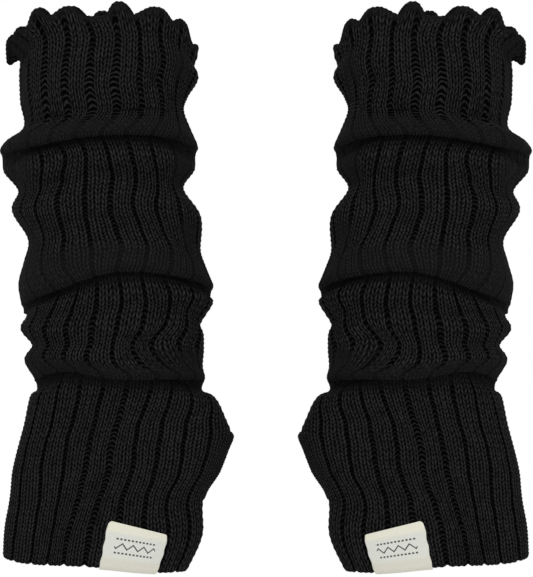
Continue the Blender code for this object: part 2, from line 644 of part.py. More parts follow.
PIECES = (
    ("sleeve", sleeve_mesh(), (0.010, 0.010, 0.010), 0.9),
    ("frill_edging", frill_edging_mesh(), (0.012, 0.012, 0.012), 0.85),
    ("thumb_edging", thumb_edging_mesh(), (0.012, 0.012, 0.012), 0.85),
    ("label", label_mesh(), (0.76, 0.74, 0.64), 0.7),
)
for side, side_name in ((-1, "left"), (1, "right")):
    for piece_name, piece_mesh, colour, roughness in PIECES:
        full_name = f"{side_name}_{piece_name}"
        piece_mesh.make_object(full_name, make_material(f"{full_name}_cloth", colour, roughness), side)
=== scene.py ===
import math
from collections import namedtuple

import bpy
import numpy as np
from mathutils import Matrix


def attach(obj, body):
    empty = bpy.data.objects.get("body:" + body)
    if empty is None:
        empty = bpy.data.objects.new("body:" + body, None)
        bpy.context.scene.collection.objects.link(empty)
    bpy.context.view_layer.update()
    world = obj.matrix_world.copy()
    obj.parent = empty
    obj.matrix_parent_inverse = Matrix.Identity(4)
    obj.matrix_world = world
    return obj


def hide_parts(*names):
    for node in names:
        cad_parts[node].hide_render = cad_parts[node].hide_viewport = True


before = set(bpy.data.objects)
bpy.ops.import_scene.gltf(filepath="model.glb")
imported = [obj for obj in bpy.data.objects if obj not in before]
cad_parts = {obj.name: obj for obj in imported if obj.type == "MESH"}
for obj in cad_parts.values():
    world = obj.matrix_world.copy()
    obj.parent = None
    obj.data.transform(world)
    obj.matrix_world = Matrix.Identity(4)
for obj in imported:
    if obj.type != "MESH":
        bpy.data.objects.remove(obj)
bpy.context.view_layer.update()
bpy.ops.object.select_all(action="DESELECT")

# Camera: level with the middle of the pair and well back from it, as garments are photographed for a
# catalogue, so that both arm warmers are seen squarely from the front and nearly fill the picture.
MILLIMETRE = 0.001
PICTURE_HEIGHT = 577
PIXEL_SIZE = 0.513 * MILLIMETRE  # on the pair
CAMERA_DISTANCE = 5.0
CAMERA_ASIDE = 0.31 * MILLIMETRE
CAMERA_HEIGHT = 0.49 * MILLIMETRE
SENSOR_HEIGHT = 24.0

bpy.ops.object.camera_add(
    location=(CAMERA_ASIDE, -CAMERA_DISTANCE, CAMERA_HEIGHT),
    rotation=(math.pi / 2, 0, 0),
)
camera = bpy.context.object
camera.name = "catalogue_camera"
camera.data.sensor_fit = "VERTICAL"
camera.data.sensor_height = SENSOR_HEIGHT
camera.data.lens = SENSOR_HEIGHT * CAMERA_DISTANCE / (PICTURE_HEIGHT * PIXEL_SIZE)
bpy.context.scene.camera = camera
camera.select_set(False)

# Sleeves: each is one tube knitted in a soft black acrylic yarn, in ribs of three knit wales with one purl
# wale between them, which opens to a ladder. Nothing shapes it but its slouch: it is pushed down the forearm
# into rolls. It is made as four shells that meet, out of sight, behind the lips of the rolls.

# Sizes are millimetres about one arm: X towards the thumb, -Y to the front, Z up from the lowest point of
# the hand hem.
ARM_SPACING = 162.0
HELD_HEIGHT = 147.0
WALL = 2.0
RIB_COUNT = 20
RIB_RAISE = 1.3
FIRST_LADDER = 0.4
RIB_PITCH = 13.0
THUMB_SLIT = 60.0
THUMB_SPREAD = 12.5
THUMB_MIDDLE = 56.0
LIP_INSET = 6.4
LIP_GAP = 1.9
LIP_FULL = 0.7
WAVE_CREST = 0.12
GRID_STEP = 0.5
NORMAL_STEP = 0.6
LONGEST_MITRE = 1.4
TINY = 1e-6

# A fold's height at the thumb side, back, outer side, front outer quarter, front and front thumb quarter,
# how far the cloth reaches to the outer side, thumb side, front and back, how far it runs back up behind
# the fold's lip, and how much of the ribs' relief the stretched cloth keeps.
Fold = namedtuple(
    "Fold", "name thumb back outer outer_front front thumb_front outer_x thumb_x front_y back_y tuck relief"
)
FOLDS = [
    Fold("frill edge", 268.0, 284.0, 262.0, 284.0, 286.0, 285.0, -51.5, 45.5, 39.0, 38.5, 0, 0.8),
    Fold("frill root", 261.0, 275.0, 267.0, 276.0, 277.0, 276.0, -44.5, 42.5, 37.0, 37.0, 0, 1.0),
    Fold("cuff top", 256.0, 265.0, 257.0, 266.0, 267.0, 266.0, -44.4, 44.8, 38.0, 38.0, 0, 1.0),
    Fold("cuff middle", 246.0, 251.0, 244.0, 252.0, 253.0, 253.0, -44.0, 39.3, 38.5, 38.0, 0, 1.0),
    Fold("cuff foot", 237.0, 236.0, 229.0, 232.0, 236.5, 238.0, -43.0, 38.0, 36.5, 36.0, 0, 0.8),
    Fold("roll 1", 227.5, 230.0, 222.5, 226.5, 231.0, 232.0, -52.3, 42.5, 42.5, 42.0, 0, 0.4),
    Fold("roll 1 lip", 217.5, 223.5, 216.0, 220.0, 225.5, 225.0, -55.1, 45.8, 42.0, 41.0, 3, 0.3),
    Fold("swell 2", 209.0, 214.5, 207.5, 212.0, 216.5, 215.0, -52.5, 43.5, 39.0, 38.5, 0, 1.0),
    Fold("crease 2", 199.0, 204.0, 198.0, 200.0, 206.0, 202.5, -45.0, 37.5, 35.5, 36.0, 0, 0.9),
    Fold("swell 3", 184.5, 191.0, 188.0, 189.0, 193.0, 189.5, -48.0, 46.0, 40.0, 39.5, 0, 1.0),
    Fold("crease 3", 165.0, 175.5, 171.0, 174.0, 178.0, 174.5, -40.0, 46.5, 36.0, 36.0, 0, 0.8),
    Fold("roll 2 top", 157.0, 166.0, 160.0, 163.0, 168.5, 165.0, -43.0, 50.0, 39.5, 39.0, 0, 0.5),
    Fold("roll 2", 151.5, 159.5, 148.5, 154.5, 161.0, 158.5, -45.5, 52.5, 42.5, 42.0, 0, 0.4),
    Fold("roll 2 lip", 146.5, 154.0, 138.5, 146.0, 156.0, 153.5, -44.3, 53.6, 41.5, 41.0, 5, 0.3),
    Fold("swell 4", 140.0, 144.5, 135.0, 139.5, 145.5, 145.0, -40.4, 52.2, 37.0, 37.0, 0, 1.0),
    Fold("crease 4", 129.5, 136.0, 132.0, 134.0, 137.0, 137.5, -41.0, 46.0, 34.5, 35.0, 0, 0.9),
    Fold("swell 5", 124.0, 127.0, 127.0, 127.0, 128.0, 128.0, -43.5, 47.5, 36.5, 36.5, 0, 1.0),
    Fold("crease 5", 116.0, 118.5, 118.5, 119.0, 118.5, 118.0, -37.8, 47.8, 35.5, 35.5, 0, 1.0),
    Fold("roll 3", 107.0, 109.0, 110.0, 111.5, 108.5, 107.5, -42.0, 47.8, 38.5, 38.0, 0, 0.6),
    Fold("roll 3 lip", 99.5, 102.5, 99.5, 105.5, 101.5, 101.5, -37.4, 49.2, 37.5, 37.0, 4, 0.4),
    Fold("wrist", 91.5, 92.5, 91.5, 93.0, 92.0, 91.5, -38.6, 53.8, 30.5, 31.0, 0, 1.0),
    Fold("palm top", 80.0, 80.0, 78.0, 80.0, 80.0, 80.0, -41.5, 59.5, 28.5, 29.0, 0, 1.0),
    Fold("thumb top", 69.5, 69.5, 66.5, 68.0, 69.5, 69.5, -44.5, 64.5, 27.5, 28.0, 0, 1.0),
    Fold("thumb middle", 55.0, 54.5, 54.0, 54.5, 54.5, 55.0, -47.5, 62.0, 27.0, 27.5, 0, 1.0),
    Fold("thumb foot", 39.0, 39.5, 39.5, 39.5, 39.5, 39.0, -49.0, 48.5, 26.5, 27.0, 0, 1.0),
    Fold("palm foot", 21.0, 23.5, 25.0, 24.0, 23.0, 21.0, -51.7, 47.2, 26.0, 26.5, 0, 0.9),
    Fold("hem", 0.8, 6.0, 10.8, 7.9, 6.4, 1.8, -52.8, 38.2, 25.5, 25.5, 0, 0.7),
]

# A lip's rings, from the roll over its lower edge, up behind it and down again: how far in and how far
# above the lip each lies, with a share of the fold's tuck, and the same at the sides, where the lip ends.
LipRing = namedtuple("LipRing", "inset rise tuck_share side_inset side_rise")
LIP_RINGS = [
    LipRing(0.0, 2.0, 0.0, 0.0, 2.4),
    LipRing(LIP_INSET / 2, 0.0, 0.0, 0.2, 0.9),
    LipRing(LIP_INSET, 2.4, 0.0, 0.6, -0.5),
    LipRing(LIP_INSET + LIP_GAP / 2, 0.0, 1.0, 0.9, -1.9),
    LipRing(LIP_INSET + LIP_GAP, 1.8, 0.0, 1.0, -3.3),
]
TUCK_RING = 3  # the one deepest behind the lip

# How far the ribs have swung towards the thumb at each fold, in ribs: at the sides and back, the front outer
# quarter, the front and the front thumb quarter.
Swing = namedtuple("Swing", "name around outer_front front thumb_front")
SWINGS = [
    Swing("frill edge", 0.0, 0.0, 0.0, -0.3),
    Swing("frill root", 0.0, 0.0, 0.0, -0.3),
    Swing("cuff top", 0.0, 0.0, -0.05, -0.2),
    Swing("cuff middle", 0.0, 0.05, 0.05, 0.1),
    Swing("cuff foot", 0.0, 0.0, 0.2, 0.4),
    Swing("roll 1", 0.0, -0.1, 0.0, 0.0),
    Swing("roll 1 lip", 0.0, -0.15, -0.3, -0.4),
    Swing("swell 2", 0.0, 0.45, 0.0, -0.3),
    Swing("crease 2", 0.0, -0.1, 0.1, 0.2),
    Swing("swell 3", 0.0, -0.25, -0.2, -0.5),
    Swing("crease 3", -0.1, -0.6, -0.4, -0.3),
    Swing("roll 2 top", -0.1, -0.5, -0.2, -0.15),
    Swing("roll 2", -0.1, -0.15, -0.2, -0.3),
    Swing("roll 2 lip", 0.0, 0.15, -0.3, -0.4),
    Swing("swell 4", 0.0, 0.0, -0.25, -0.4),
    Swing("crease 4", 0.0, -0.15, -0.1, 0.0),
    Swing("swell 5", 0.0, -0.2, -0.15, -0.2),
    Swing("crease 5", -0.2, -0.5, -0.5, -0.9),
    Swing("roll 3", -0.1, -0.35, -0.35, -0.1),
    Swing("roll 3 lip", 0.0, -0.25, 0.0, 0.35),
    Swing("wrist", -0.1, -0.2, -0.25, -0.2),
    Swing("palm top", -0.3, -0.4, -0.6, -0.65),
    Swing("thumb top", -0.4, -0.6, -0.85, -0.85),
    Swing("thumb middle", -0.4, -0.55, -0.8, -0.75),
    Swing("thumb foot", -0.4, -0.3, -0.65, -0.5),
    Swing("palm foot", -0.4, -0.3, -0.9, -0.5),
    Swing("hem", -0.4, -0.3, -0.8, -0.45),
]

# The frill's waves: each crest's place and half width in ribs round from the thumb side, its rise, and how
# far it leans out.
Wave = namedtuple("Wave", "place half_width rise lean")
WAVES = [
    Wave(0.7, 0.75, 4.0, -2.5),
    Wave(2.1, 0.70, 6.0, 3.0),
    Wave(3.5, 0.75, 4.5, -3.0),
    Wave(4.9, 0.70, 7.0, 2.5),
    Wave(6.3, 0.80, 4.5, -2.2),
    Wave(7.5, 0.90, 4.0, 1.5),
    Wave(9.0, 0.60, 4.0, -2.0),
    Wave(10.3, 0.95, 9.0, 1.2),
    Wave(11.4, 0.60, 3.0, 1.5),
    Wave(12.6, 0.60, 5.5, 1.0),
    Wave(13.75, 0.75, 5.0, -2.5),
    Wave(15.65, 0.55, 7.6, -2.5),
    Wave(16.95, 0.90, 4.4, 2.5),
    Wave(18.4, 0.70, 4.5, 0.5),
    Wave(19.75, 0.45, 2.5, 1.2),
]

# Creases and ridges pressed into the cloth: the middle's place in ribs and height, the way it runs in
# degrees up from level, its half length and half width, and how far it stands out (in, below zero). The
# first rows are the large ones, the others the finer creases, with like ones on the hidden sides.
Crease = namedtuple("Crease", "place height slope half_length half_width depth")
CREASES = [
    Crease(17.0, 249.0, 70, 11, 6, -1.8),
    Crease(10.8, 268.0, 0, 6, 4, -2.0),
    Crease(11.0, 212.0, -55, 9, 4, -2.2),
    Crease(11.9, 206.0, 60, 8, 5, 1.8),
    Crease(16.6, 123.0, 25, 13, 5, -2.6),
    Crease(17.2, 115.0, -40, 13, 4, 2.6),
    Crease(17.0, 109.5, -30, 14, 4, -2.2),
    Crease(18.6, 118.0, 60, 9, 4, -2.4),
    Crease(6.6, 248.0, 80, 12, 6, -1.6),
    Crease(7.8, 208.0, 40, 10, 5, -2.2),
    Crease(3.2, 186.0, -30, 12, 6, -2.0),
    Crease(4.4, 121.0, 30, 13, 5, -2.4),
    Crease(3.4, 113.0, -30, 12, 5, 2.2),
    Crease(7.2, 74.0, 70, 14, 7, -1.2),
    Crease(17.8, 170.0, -33, 12, 3, -1.5),
    Crease(17.3, 254.0, -35, 8, 2.5, -1.2),
    Crease(12.8, 234.5, 8, 14, 2.0, -1.8),
    Crease(16.3, 238.0, -2, 16, 2.0, -2.0),
    Crease(13.4, 226.0, 8, 12, 1.6, -0.8),
    Crease(16.4, 228.5, -4, 13, 1.5, -0.8),
    Crease(13.2, 201.0, 12, 12, 2.8, -1.4),
    Crease(16.0, 205.5, -6, 14, 2.6, -1.4),
    Crease(14.2, 173.5, 4, 20, 2.2, -1.0),
    Crease(16.4, 163.5, -4, 14, 1.8, -0.7),
    Crease(13.8, 134.5, 4, 15, 2.4, -1.2),
    Crease(15.4, 112.5, 2, 16, 2.0, -0.9),
    Crease(2.2, 169.0, 33, 12, 3, -1.5),
    Crease(3.2, 236.5, 4, 16, 2.0, -1.3),
    Crease(6.6, 235.5, -6, 15, 2.2, -1.3),
    Crease(3.6, 227.5, 4, 13, 1.5, -0.8),
    Crease(6.4, 203.0, -10, 13, 2.8, -1.4),
    Crease(4.0, 203.5, 6, 13, 2.6, -1.3),
    Crease(5.6, 173.0, -3, 20, 2.2, -1.0),
    Crease(6.2, 134.5, -4, 15, 2.4, -1.2),
    Crease(4.6, 112.5, 2, 16, 2.0, -0.9),
]

QUARTER_ANGLES = np.radians([0.0, 90.0, 180.0, 225.0, 270.0, 315.0])
QUARTER_RIBS = np.array([0.0, 5.0, 10.0, 12.5, 15.0, 17.5])
RING_STEPS = 360
RING_ANGLES = np.arange(RING_STEPS) * 2 * np.pi / RING_STEPS


def smooth_curve(knots, values, places, period=None):
    """A curve through each row of values at its knot, read at the places; a period closes it."""
    knots = np.asarray(knots, float)
    values = np.asarray(values, float)
    places = np.asarray(places, float)
    if period is not None:
        knots = np.concatenate([knots[-2:] - period, knots, knots[:2] + period])
        values = np.concatenate([values[-2:], values, values[:2]])
        places = np.mod(places, period)
    spans = np.diff(knots)
    rises = np.diff(values, axis=0) / spans[:, None]
    slopes = np.empty_like(values)
    weighed = rises[:-1] * spans[1:, None] + rises[1:] * spans[:-1, None]
    slopes[1:-1] = weighed / (spans[1:] + spans[:-1])[:, None]
    slopes[0] = rises[0]
    slopes[-1] = rises[-1]
    first = np.clip(np.searchsorted(knots, places, side="right") - 1, 0, len(knots) - 2)
    span = spans[first][:, None]
    share = (places[:, None] - knots[first][:, None]) / span
    rest = 1 - share
    return (
        values[first] * rest**2 * (1 + 2 * share)
        + values[first + 1] * share**2 * (1 + 2 * rest)
        + slopes[first] * span * share * rest**2
        - slopes[first + 1] * span * share**2 * rest
    )


def smooth_step(share):
    """0 to 1 with level ends."""
    share = np.clip(share, 0, 1)
    return share * share * (3 - 2 * share)


def fold_ring(fold):
    """The closed ring of points that a fold's row gives."""
    quarters = [fold.thumb, fold.back, fold.outer, fold.outer_front, fold.front, fold.thumb_front]
    heights = smooth_curve(QUARTER_ANGLES, np.array(quarters)[:, None], RING_ANGLES, 2 * np.pi)[:, 0]
    middle = (fold.outer_x + fold.thumb_x) / 2
    half = (fold.thumb_x - fold.outer_x) / 2
    depth = np.where(np.sin(RING_ANGLES) < 0, fold.front_y, fold.back_y)
    return np.stack([middle + half * np.cos(RING_ANGLES), depth * np.sin(RING_ANGLES), heights], axis=1)


def lip_rings(fold):
    """A roll's lip: over its lower edge, back up behind it and down again. It dies out at the sides."""
    ring = fold_ring(fold)
    middle = np.array([(fold.outer_x + fold.thumb_x) / 2, 0.0, 0.0])
    outward = (ring - middle) * [1, 1, 0]
    outward /= np.linalg.norm(outward, axis=1)[:, None]
    full = smooth_step(np.abs(np.sin(RING_ANGLES)) / LIP_FULL)[:, None]
    apart = np.sqrt(full)  # the two walls part before the upper one overhangs
    rings = []
    for row in LIP_RINGS:
        inward = row.inset * apart + row.side_inset * (1 - apart)
        upward = (row.rise + fold.tuck * row.tuck_share) * full + row.side_rise * (1 - full)
        rings.append(ring - outward * inward + np.array([0.0, 0.0, 1.0]) * upward)
    return rings


def all_rings():
    """Every ring from frill to hem, its swings and relief, and the number of each fold's first ring."""
    rings = []
    swings = []
    relief = []
    first = {}
    for fold, swing in zip(FOLDS, SWINGS):
        first[fold.name] = len(rings)
        found = lip_rings(fold) if fold.tuck else [fold_ring(fold)]
        rings.extend(found)
        swings.extend([swing[1:]] * len(found))
        relief.extend([fold.relief] * min(len(found), 2) + [0.0] * (len(found) - 2))
    return np.array(rings), np.array(swings), np.array(relief), first


RINGS, RING_SWINGS, RING_RELIEF, FIRST_RINGS = all_rings()
RINGS_DOWN = np.concatenate([[0.0], np.cumsum(np.linalg.norm(np.diff(RINGS, axis=0), axis=2).mean(axis=1))])
CLOTH_LENGTH = RINGS_DOWN[-1]
WRIST = FIRST_RINGS["wrist"]
THUMB_DOWN = np.interp(-THUMB_MIDDLE, -RINGS[WRIST:, 0, 2], RINGS_DOWN[WRIST:])


def cloth_grid():
    """The plain cloth as an even grid: every half millimetre down it, and as many steps round each ring."""
    down = np.linspace(0, CLOTH_LENGTH, int(CLOTH_LENGTH / GRID_STEP) + 1)
    rings = smooth_curve(RINGS_DOWN, RINGS.reshape(len(RINGS), -1), down).reshape(len(down), RING_STEPS, 3)
    rings = np.concatenate([rings, rings[:, :1]], axis=1)
    lengths = np.linalg.norm(np.diff(rings, axis=1), axis=2)
    grid = np.empty_like(rings)
    for row, (ring, length) in enumerate(zip(rings, lengths)):
        run = np.concatenate([[0.0], np.cumsum(length)])
        even = np.linspace(0, run[-1], RING_STEPS + 1)
        for axis in range(3):
            grid[row, :, axis] = np.interp(even, run, ring[:, axis])
    return grid


GRID = cloth_grid()
GRID_SWINGS = smooth_curve(RINGS_DOWN, RING_SWINGS, np.linspace(0, CLOTH_LENGTH, len(GRID)))


def read_grid(grid, rows, columns):
    """Values between the grid's points, for places in grid rows and columns."""
    rows = np.clip(rows, 0, len(grid) - 1.001)
    columns = np.clip(columns, 0, grid.shape[1] - 1.001)
    row = rows.astype(int)
    column = columns.astype(int)
    down = (rows - row)[:, None]
    across = (columns - column)[:, None]
    upper = grid[row, column] * (1 - across) + grid[row, column + 1] * across
    lower = grid[row + 1, column] * (1 - across) + grid[row + 1, column + 1] * across
    return upper * (1 - down) + lower * down


def open_thumb_hole(ribs, down):
    """Moves places on the cloth aside as the thumb opens its slit, at ribs 0 and 20, to an oval."""
    near = ribs < RIB_COUNT / 2
    across = np.where(near, ribs, ribs - RIB_COUNT) * RIB_PITCH
    across = np.where(np.abs(across) < TINY, np.where(near, TINY, -TINY), across)
    along = down - THUMB_DOWN
    place = along + 1j * across
    half = THUMB_SLIT / 2
    circle = (place + np.sqrt(place - half) * np.sqrt(place + half)) / 2
    change = circle + (half / 2) * (half / 2 - THUMB_SPREAD) / circle - place
    fade = 1 - smooth_step((np.abs(place) - half) / (2 * half))
    return ribs + change.imag * fade / RIB_PITCH, down + change.real * fade


def ribs_between(places, middle):
    """How many ribs lie from the middle to each place, the short way round."""
    return np.mod(places - middle + RIB_COUNT / 2, RIB_COUNT) - RIB_COUNT / 2


def crease_offset(around, heights):
    """How far the single creases and ridges push the cloth out."""
    offset = np.zeros_like(heights)
    for crease in CREASES:
        aside = ribs_between(around, crease.place) * RIB_PITCH
        rise = heights - crease.height
        slope = np.radians(crease.slope)
        along = aside * np.cos(slope) + rise * np.sin(slope)
        across = rise * np.cos(slope) - aside * np.sin(slope)
        fall = (along / crease.half_length) ** 2 + (across / crease.half_width) ** 2
        offset += crease.depth * np.exp(-fall)
    return offset


def wave_offset(around):
    """The frill's rise and lean at each place round its edge."""
    rise = np.zeros_like(around)
    lean = np.zeros_like(around)
    for wave in WAVES:
        aside = np.abs(ribs_between(around, wave.place)) / wave.half_width
        bump = 1 - smooth_step((aside - WAVE_CREST) / (1 - WAVE_CREST))
        rise += wave.rise * bump
        lean += wave.lean * bump
    return rise, lean


def cloth_points(ribs, down):
    """The cloth's smooth outer face, at places in ribs round from the thumb slit and millimetres down."""
    ribs, down = np.broadcast_arrays(np.asarray(ribs, float), np.asarray(down, float))
    shape = ribs.shape
    ribs, down = open_thumb_hole(ribs.ravel(), down.ravel())
    rows = down / CLOTH_LENGTH * (len(GRID) - 1)
    swings = read_grid(GRID_SWINGS[:, None].repeat(2, axis=1), rows, 0 * rows)
    around = ribs + FIRST_LADDER
    weights = smooth_curve(QUARTER_RIBS, np.eye(len(QUARTER_RIBS)), around, RIB_COUNT)
    swing = weights[:, :3].sum(axis=1) * swings[:, 0] + (weights[:, 3:] * swings[:, 1:]).sum(axis=1)
    around = np.mod(around + swing, RIB_COUNT)
    points = read_grid(GRID, rows, around / RIB_COUNT * RING_STEPS)

    thumb_side = read_grid(GRID, rows, 0 * rows)
    outer_side = read_grid(GRID, rows, 0 * rows + RING_STEPS / 2)
    outward = points - (thumb_side + outer_side) / 2
    outward[:, 2] = 0
    outward /= np.linalg.norm(outward, axis=1)[:, None]
    rise, lean = wave_offset(around)
    frill = 1 - smooth_step(down / RINGS_DOWN[1])
    points += outward * (crease_offset(around, points[:, 2]) + lean * frill)[:, None]
    points[:, 2] += rise * frill
    return points.reshape(shape + (3,))


def across_cloth(ribs, down):
    """A short step round the smooth cloth, never across the thumb slit, at ribs 0 and 20."""
    step = NORMAL_STEP / RIB_PITCH
    first_half = ribs < RIB_COUNT / 2
    left = np.where(first_half, np.maximum(ribs - step, 0), ribs - step)
    right = np.where(first_half, ribs + step, np.minimum(ribs + step, RIB_COUNT))
    return cloth_points(right, down) - cloth_points(left, down)


def cloth_normals(ribs, down):
    """Outward normals of the smooth cloth."""
    ribs, down = np.broadcast_arrays(np.asarray(ribs, float), np.asarray(down, float))
    below = cloth_points(ribs, np.minimum(down + NORMAL_STEP, CLOTH_LENGTH))
    above = cloth_points(ribs, np.maximum(down - NORMAL_STEP, 0))
    normals = np.cross(below - above, across_cloth(ribs, down))
    return normals / np.linalg.norm(normals, axis=-1)[..., None]


def row_normals(ribs, rows, number):
    """Outward steps for one millimetre of wall at a row of the inside, square to the facets beside it."""
    here = cloth_points(ribs, rows[number])
    ways = []
    for other in (number - 1, number + 1):
        if 0 <= other < len(rows):
            way = (cloth_points(ribs, rows[other]) - here) * (other - number)
            ways.append(way / np.linalg.norm(way, axis=1)[:, None])
    way = np.mean(ways, axis=0)
    normals = np.cross(way, across_cloth(ribs, rows[number]))
    normals /= np.linalg.norm(normals, axis=1)[:, None]
    return normals * np.minimum(1 / np.linalg.norm(way, axis=1), LONGEST_MITRE)[:, None]


# The knit, from its real stitches: wales are counted round the tube and courses down it.
WALE = 3.1
LADDER = 3.8
REPEAT = 3 * WALE + LADDER
COURSE = 2.4
ROW_STEP = COURSE / 3
HALF_LADDER = LADDER / REPEAT / 2  # in ribs
STITCH_DEPTH = 0.5
RUNG_DEPTH = 0.5
RUNG_BOW = 0.45  # of a course, how far a rung's ends lie below its middle
LEG_PLACES = (0.0, 0.09, 0.25, 0.41, 0.5)  # across half a wale, from the middle of its Vs to the next wale
LEG_HEIGHTS = (0.1, 0.25, 1.0, 0.2, 0.0)
# Painted light across half a wale: a painted highlight on each leg's crest, painted shade between the legs.
LEG_LIGHTS = (0.14, 0.42, 1.0, 0.32, 0.0)
LEG_EVENNESS = 0.65  # of a leg that is the same all along
RIB_SIDE = 0.07  # from a ladder's middle, in ribs, to where its side starts to climb
RIB_TOP = 0.21  # and to where the rib is fully raised
SMOOTHED = 0.42  # relief at which the stretched cloth shows no stitches
SHARP = 0.72  # and at which it shows them in full
SMOOTH_LIGHT = 0.27
# Painted shade where a leg dips under the next loop, and a painted highlight on each ladder rung.
LEG_DARKEST = 0.25
RUNG_LIGHT = 0.62
COURSE_WOBBLE = 0.9
# Ladders are painted shade between their rungs; where the cloth is stretched this fades before the stitches.
LADDER_FADING = 1.3  # how much sooner the ladders fade than the stitches, where the cloth is stretched
STITCH_SLANT = 1.9  # courses that a leg falls across one wale
SMOOTH_STITCH = 0.4
STITCH_UNEVENNESS = 0.75
WANDER = 0.018  # of a ladder from its line, in ribs
LONG_WANDER = 37.0
SHORT_WANDER = 13.5
SHORT_SHARE = 0.6
WANDER_SHIFT = 2.4  # from one ladder to the next
COURSE_DRIFT = 3.8  # from one high place of a course to the next
YARN_CLOUD = 2.4  # along the yarn from a thick place to the next
TUFT = 0.7  # across a tuft of fibres
FUZZ = 0.3  # how much lighter and darker the tufts are
RUNG_FINENESS = 3.0
# Inside: painted highlights on the purl bumps, painted shade between their rows and at each bump's sides.
PURL_LIGHT = 0.6
PURL_DARKEST = 0.1
PURL_ROUNDNESS = 0.6
PURL_LADDER = 0.3
INNER_CLARITY = 0.4
INNER_ROW = 6.0
HEM_SWELL = 1.3
HEM_CLARITY = 0.6
HEM_DENT = 0.9
HEM_DENT_REACH = 0.2  # in ribs
HEM_TURNS = (35, 70, 110, 145)  # degrees round the edge
CAST_ON_BUMP = 0.35
CUT_GAP = 0.05
TOP_FLATTENED = 4.0  # down the cloth, where the frill's edging presses the ribs flat


def lattice_columns():
    """Places round the tube, in ribs: five across each ladder and six across each knit wale."""
    ladder = np.array([-0.4, -0.2, 0.0, 0.2, 0.4]) * LADDER
    wale = np.array([-5, -3, -1, 1, 3, 5]) / 12 * WALE
    middles = [LADDER / 2 + WALE * (number + 0.5) for number in range(3)]
    one = np.concatenate([ladder[2:], *[middle + wale for middle in middles], REPEAT + ladder[:2]]) / REPEAT
    return np.append((np.arange(RIB_COUNT)[:, None] + one).ravel(), RIB_COUNT)


# How far the ladders stand open at each fold, as a share of their full width: at the sides and back, the
# front outer quarter, the front and the front thumb quarter.
Opening = namedtuple("Opening", "name around outer_front front thumb_front")
OPENINGS = [
    Opening("frill edge", 0.5, 0.5, 0.55, 0.4),
    Opening("cuff top", 0.7, 0.75, 0.75, 0.55),
    Opening("cuff middle", 0.8, 1.05, 1.1, 0.7),
    Opening("cuff foot", 0.8, 1.0, 1.0, 0.7),
    Opening("roll 1", 0.7, 0.8, 0.8, 0.5),
    Opening("swell 2", 0.5, 0.5, 0.5, 0.5),
    Opening("crease 2", 0.4, 0.4, 0.4, 0.4),
    Opening("swell 3", 0.5, 0.5, 0.6, 0.45),
    Opening("crease 3", 0.4, 0.4, 0.45, 0.4),
    Opening("roll 2", 0.5, 0.5, 0.5, 0.5),
    Opening("roll 2 lip", 0.5, 0.5, 0.5, 0.5),
    Opening("swell 4", 0.35, 0.35, 0.4, 0.35),
    Opening("crease 4", 0.5, 0.6, 0.5, 0.4),
    Opening("swell 5", 0.55, 0.7, 0.6, 0.55),
    Opening("roll 3 lip", 0.5, 0.6, 0.5, 0.6),
    Opening("wrist", 0.4, 0.35, 0.65, 0.4),
    Opening("palm top", 0.4, 0.3, 0.75, 0.45),
    Opening("thumb foot", 0.4, 0.35, 0.8, 0.5),
    Opening("palm foot", 0.4, 0.3, 0.85, 0.6),
    Opening("hem", 0.35, 0.3, 0.6, 0.3),
]
LEAST_OPEN = 0.26
OPEN_SPREAD = 0.1
SPREAD_SHIFT = 2.6
SPREAD_LENGTH = 19.0

# Where a swell or the frill pulls the knit so flat that its stitches and ladders nearly vanish: the
# patch's middle in ribs and height, its half width and half height, and how flat it lies.
Patch = namedtuple("Patch", "place height half_width half_height flatness")
FLAT_PATCHES = [
    Patch(11.1, 207.0, 15, 11, 0.85),
    Patch(19.0, 209.0, 14, 11, 0.8),
    Patch(18.7, 176.0, 10, 9, 0.6),
    Patch(10.9, 166.0, 13, 22, 0.8),
    Patch(10.7, 270.0, 12, 8, 0.8),
    Patch(10.6, 243.0, 10, 24, 0.8),
    Patch(18.4, 262.0, 9, 11, 0.75),
    Patch(19.0, 112.0, 12, 9, 0.6),
    Patch(17.5, 116.0, 8, 7, 0.35),
    Patch(10.8, 118.0, 10, 16, 0.6),
    Patch(8.6, 205.0, 12, 10, 0.6),
    Patch(1.6, 208.0, 12, 10, 0.6),
    Patch(3.0, 170.0, 12, 9, 0.5),
    Patch(6.0, 262.0, 10, 9, 0.5),
    Patch(19.9, 62.0, 10, 24, 0.42),
    Patch(0.9, 62.0, 10, 24, 0.42),
]

COLUMNS = lattice_columns()
PER_RIB = (len(COLUMNS) - 1) // RIB_COUNT
INNER_PICKS = np.array([0, 5, 9, 14, 18])  # the columns of each rib that the plain inside keeps
INNER_COLUMNS = np.append((np.arange(RIB_COUNT)[:, None] * PER_RIB + INNER_PICKS).ravel(), len(COLUMNS) - 1)


def stitches(ribs, down):
    """How far the yarn stands out: V-shaped knit stitches on the ribs, bowed rungs in the ladders."""
    beside = np.abs(ribs - np.round(ribs))
    place = (beside - HALF_LADDER) / (WALE / REPEAT)
    aside = np.abs(np.mod(place, 1) - 0.5)
    leg = np.interp(aside, LEG_PLACES, LEG_HEIGHTS)
    wave = np.cos(2 * np.pi * (down / COURSE + STITCH_SLANT * aside))
    knit = leg * (LEG_EVENNESS + (1 - LEG_EVENNESS) * wave)
    bow = RUNG_BOW * (beside / HALF_LADDER) ** 2
    rung = 0.5 + 0.5 * np.cos(2 * np.pi * (down / COURSE - bow))
    return np.where(place < 0, RUNG_DEPTH * rung, STITCH_DEPTH * knit)


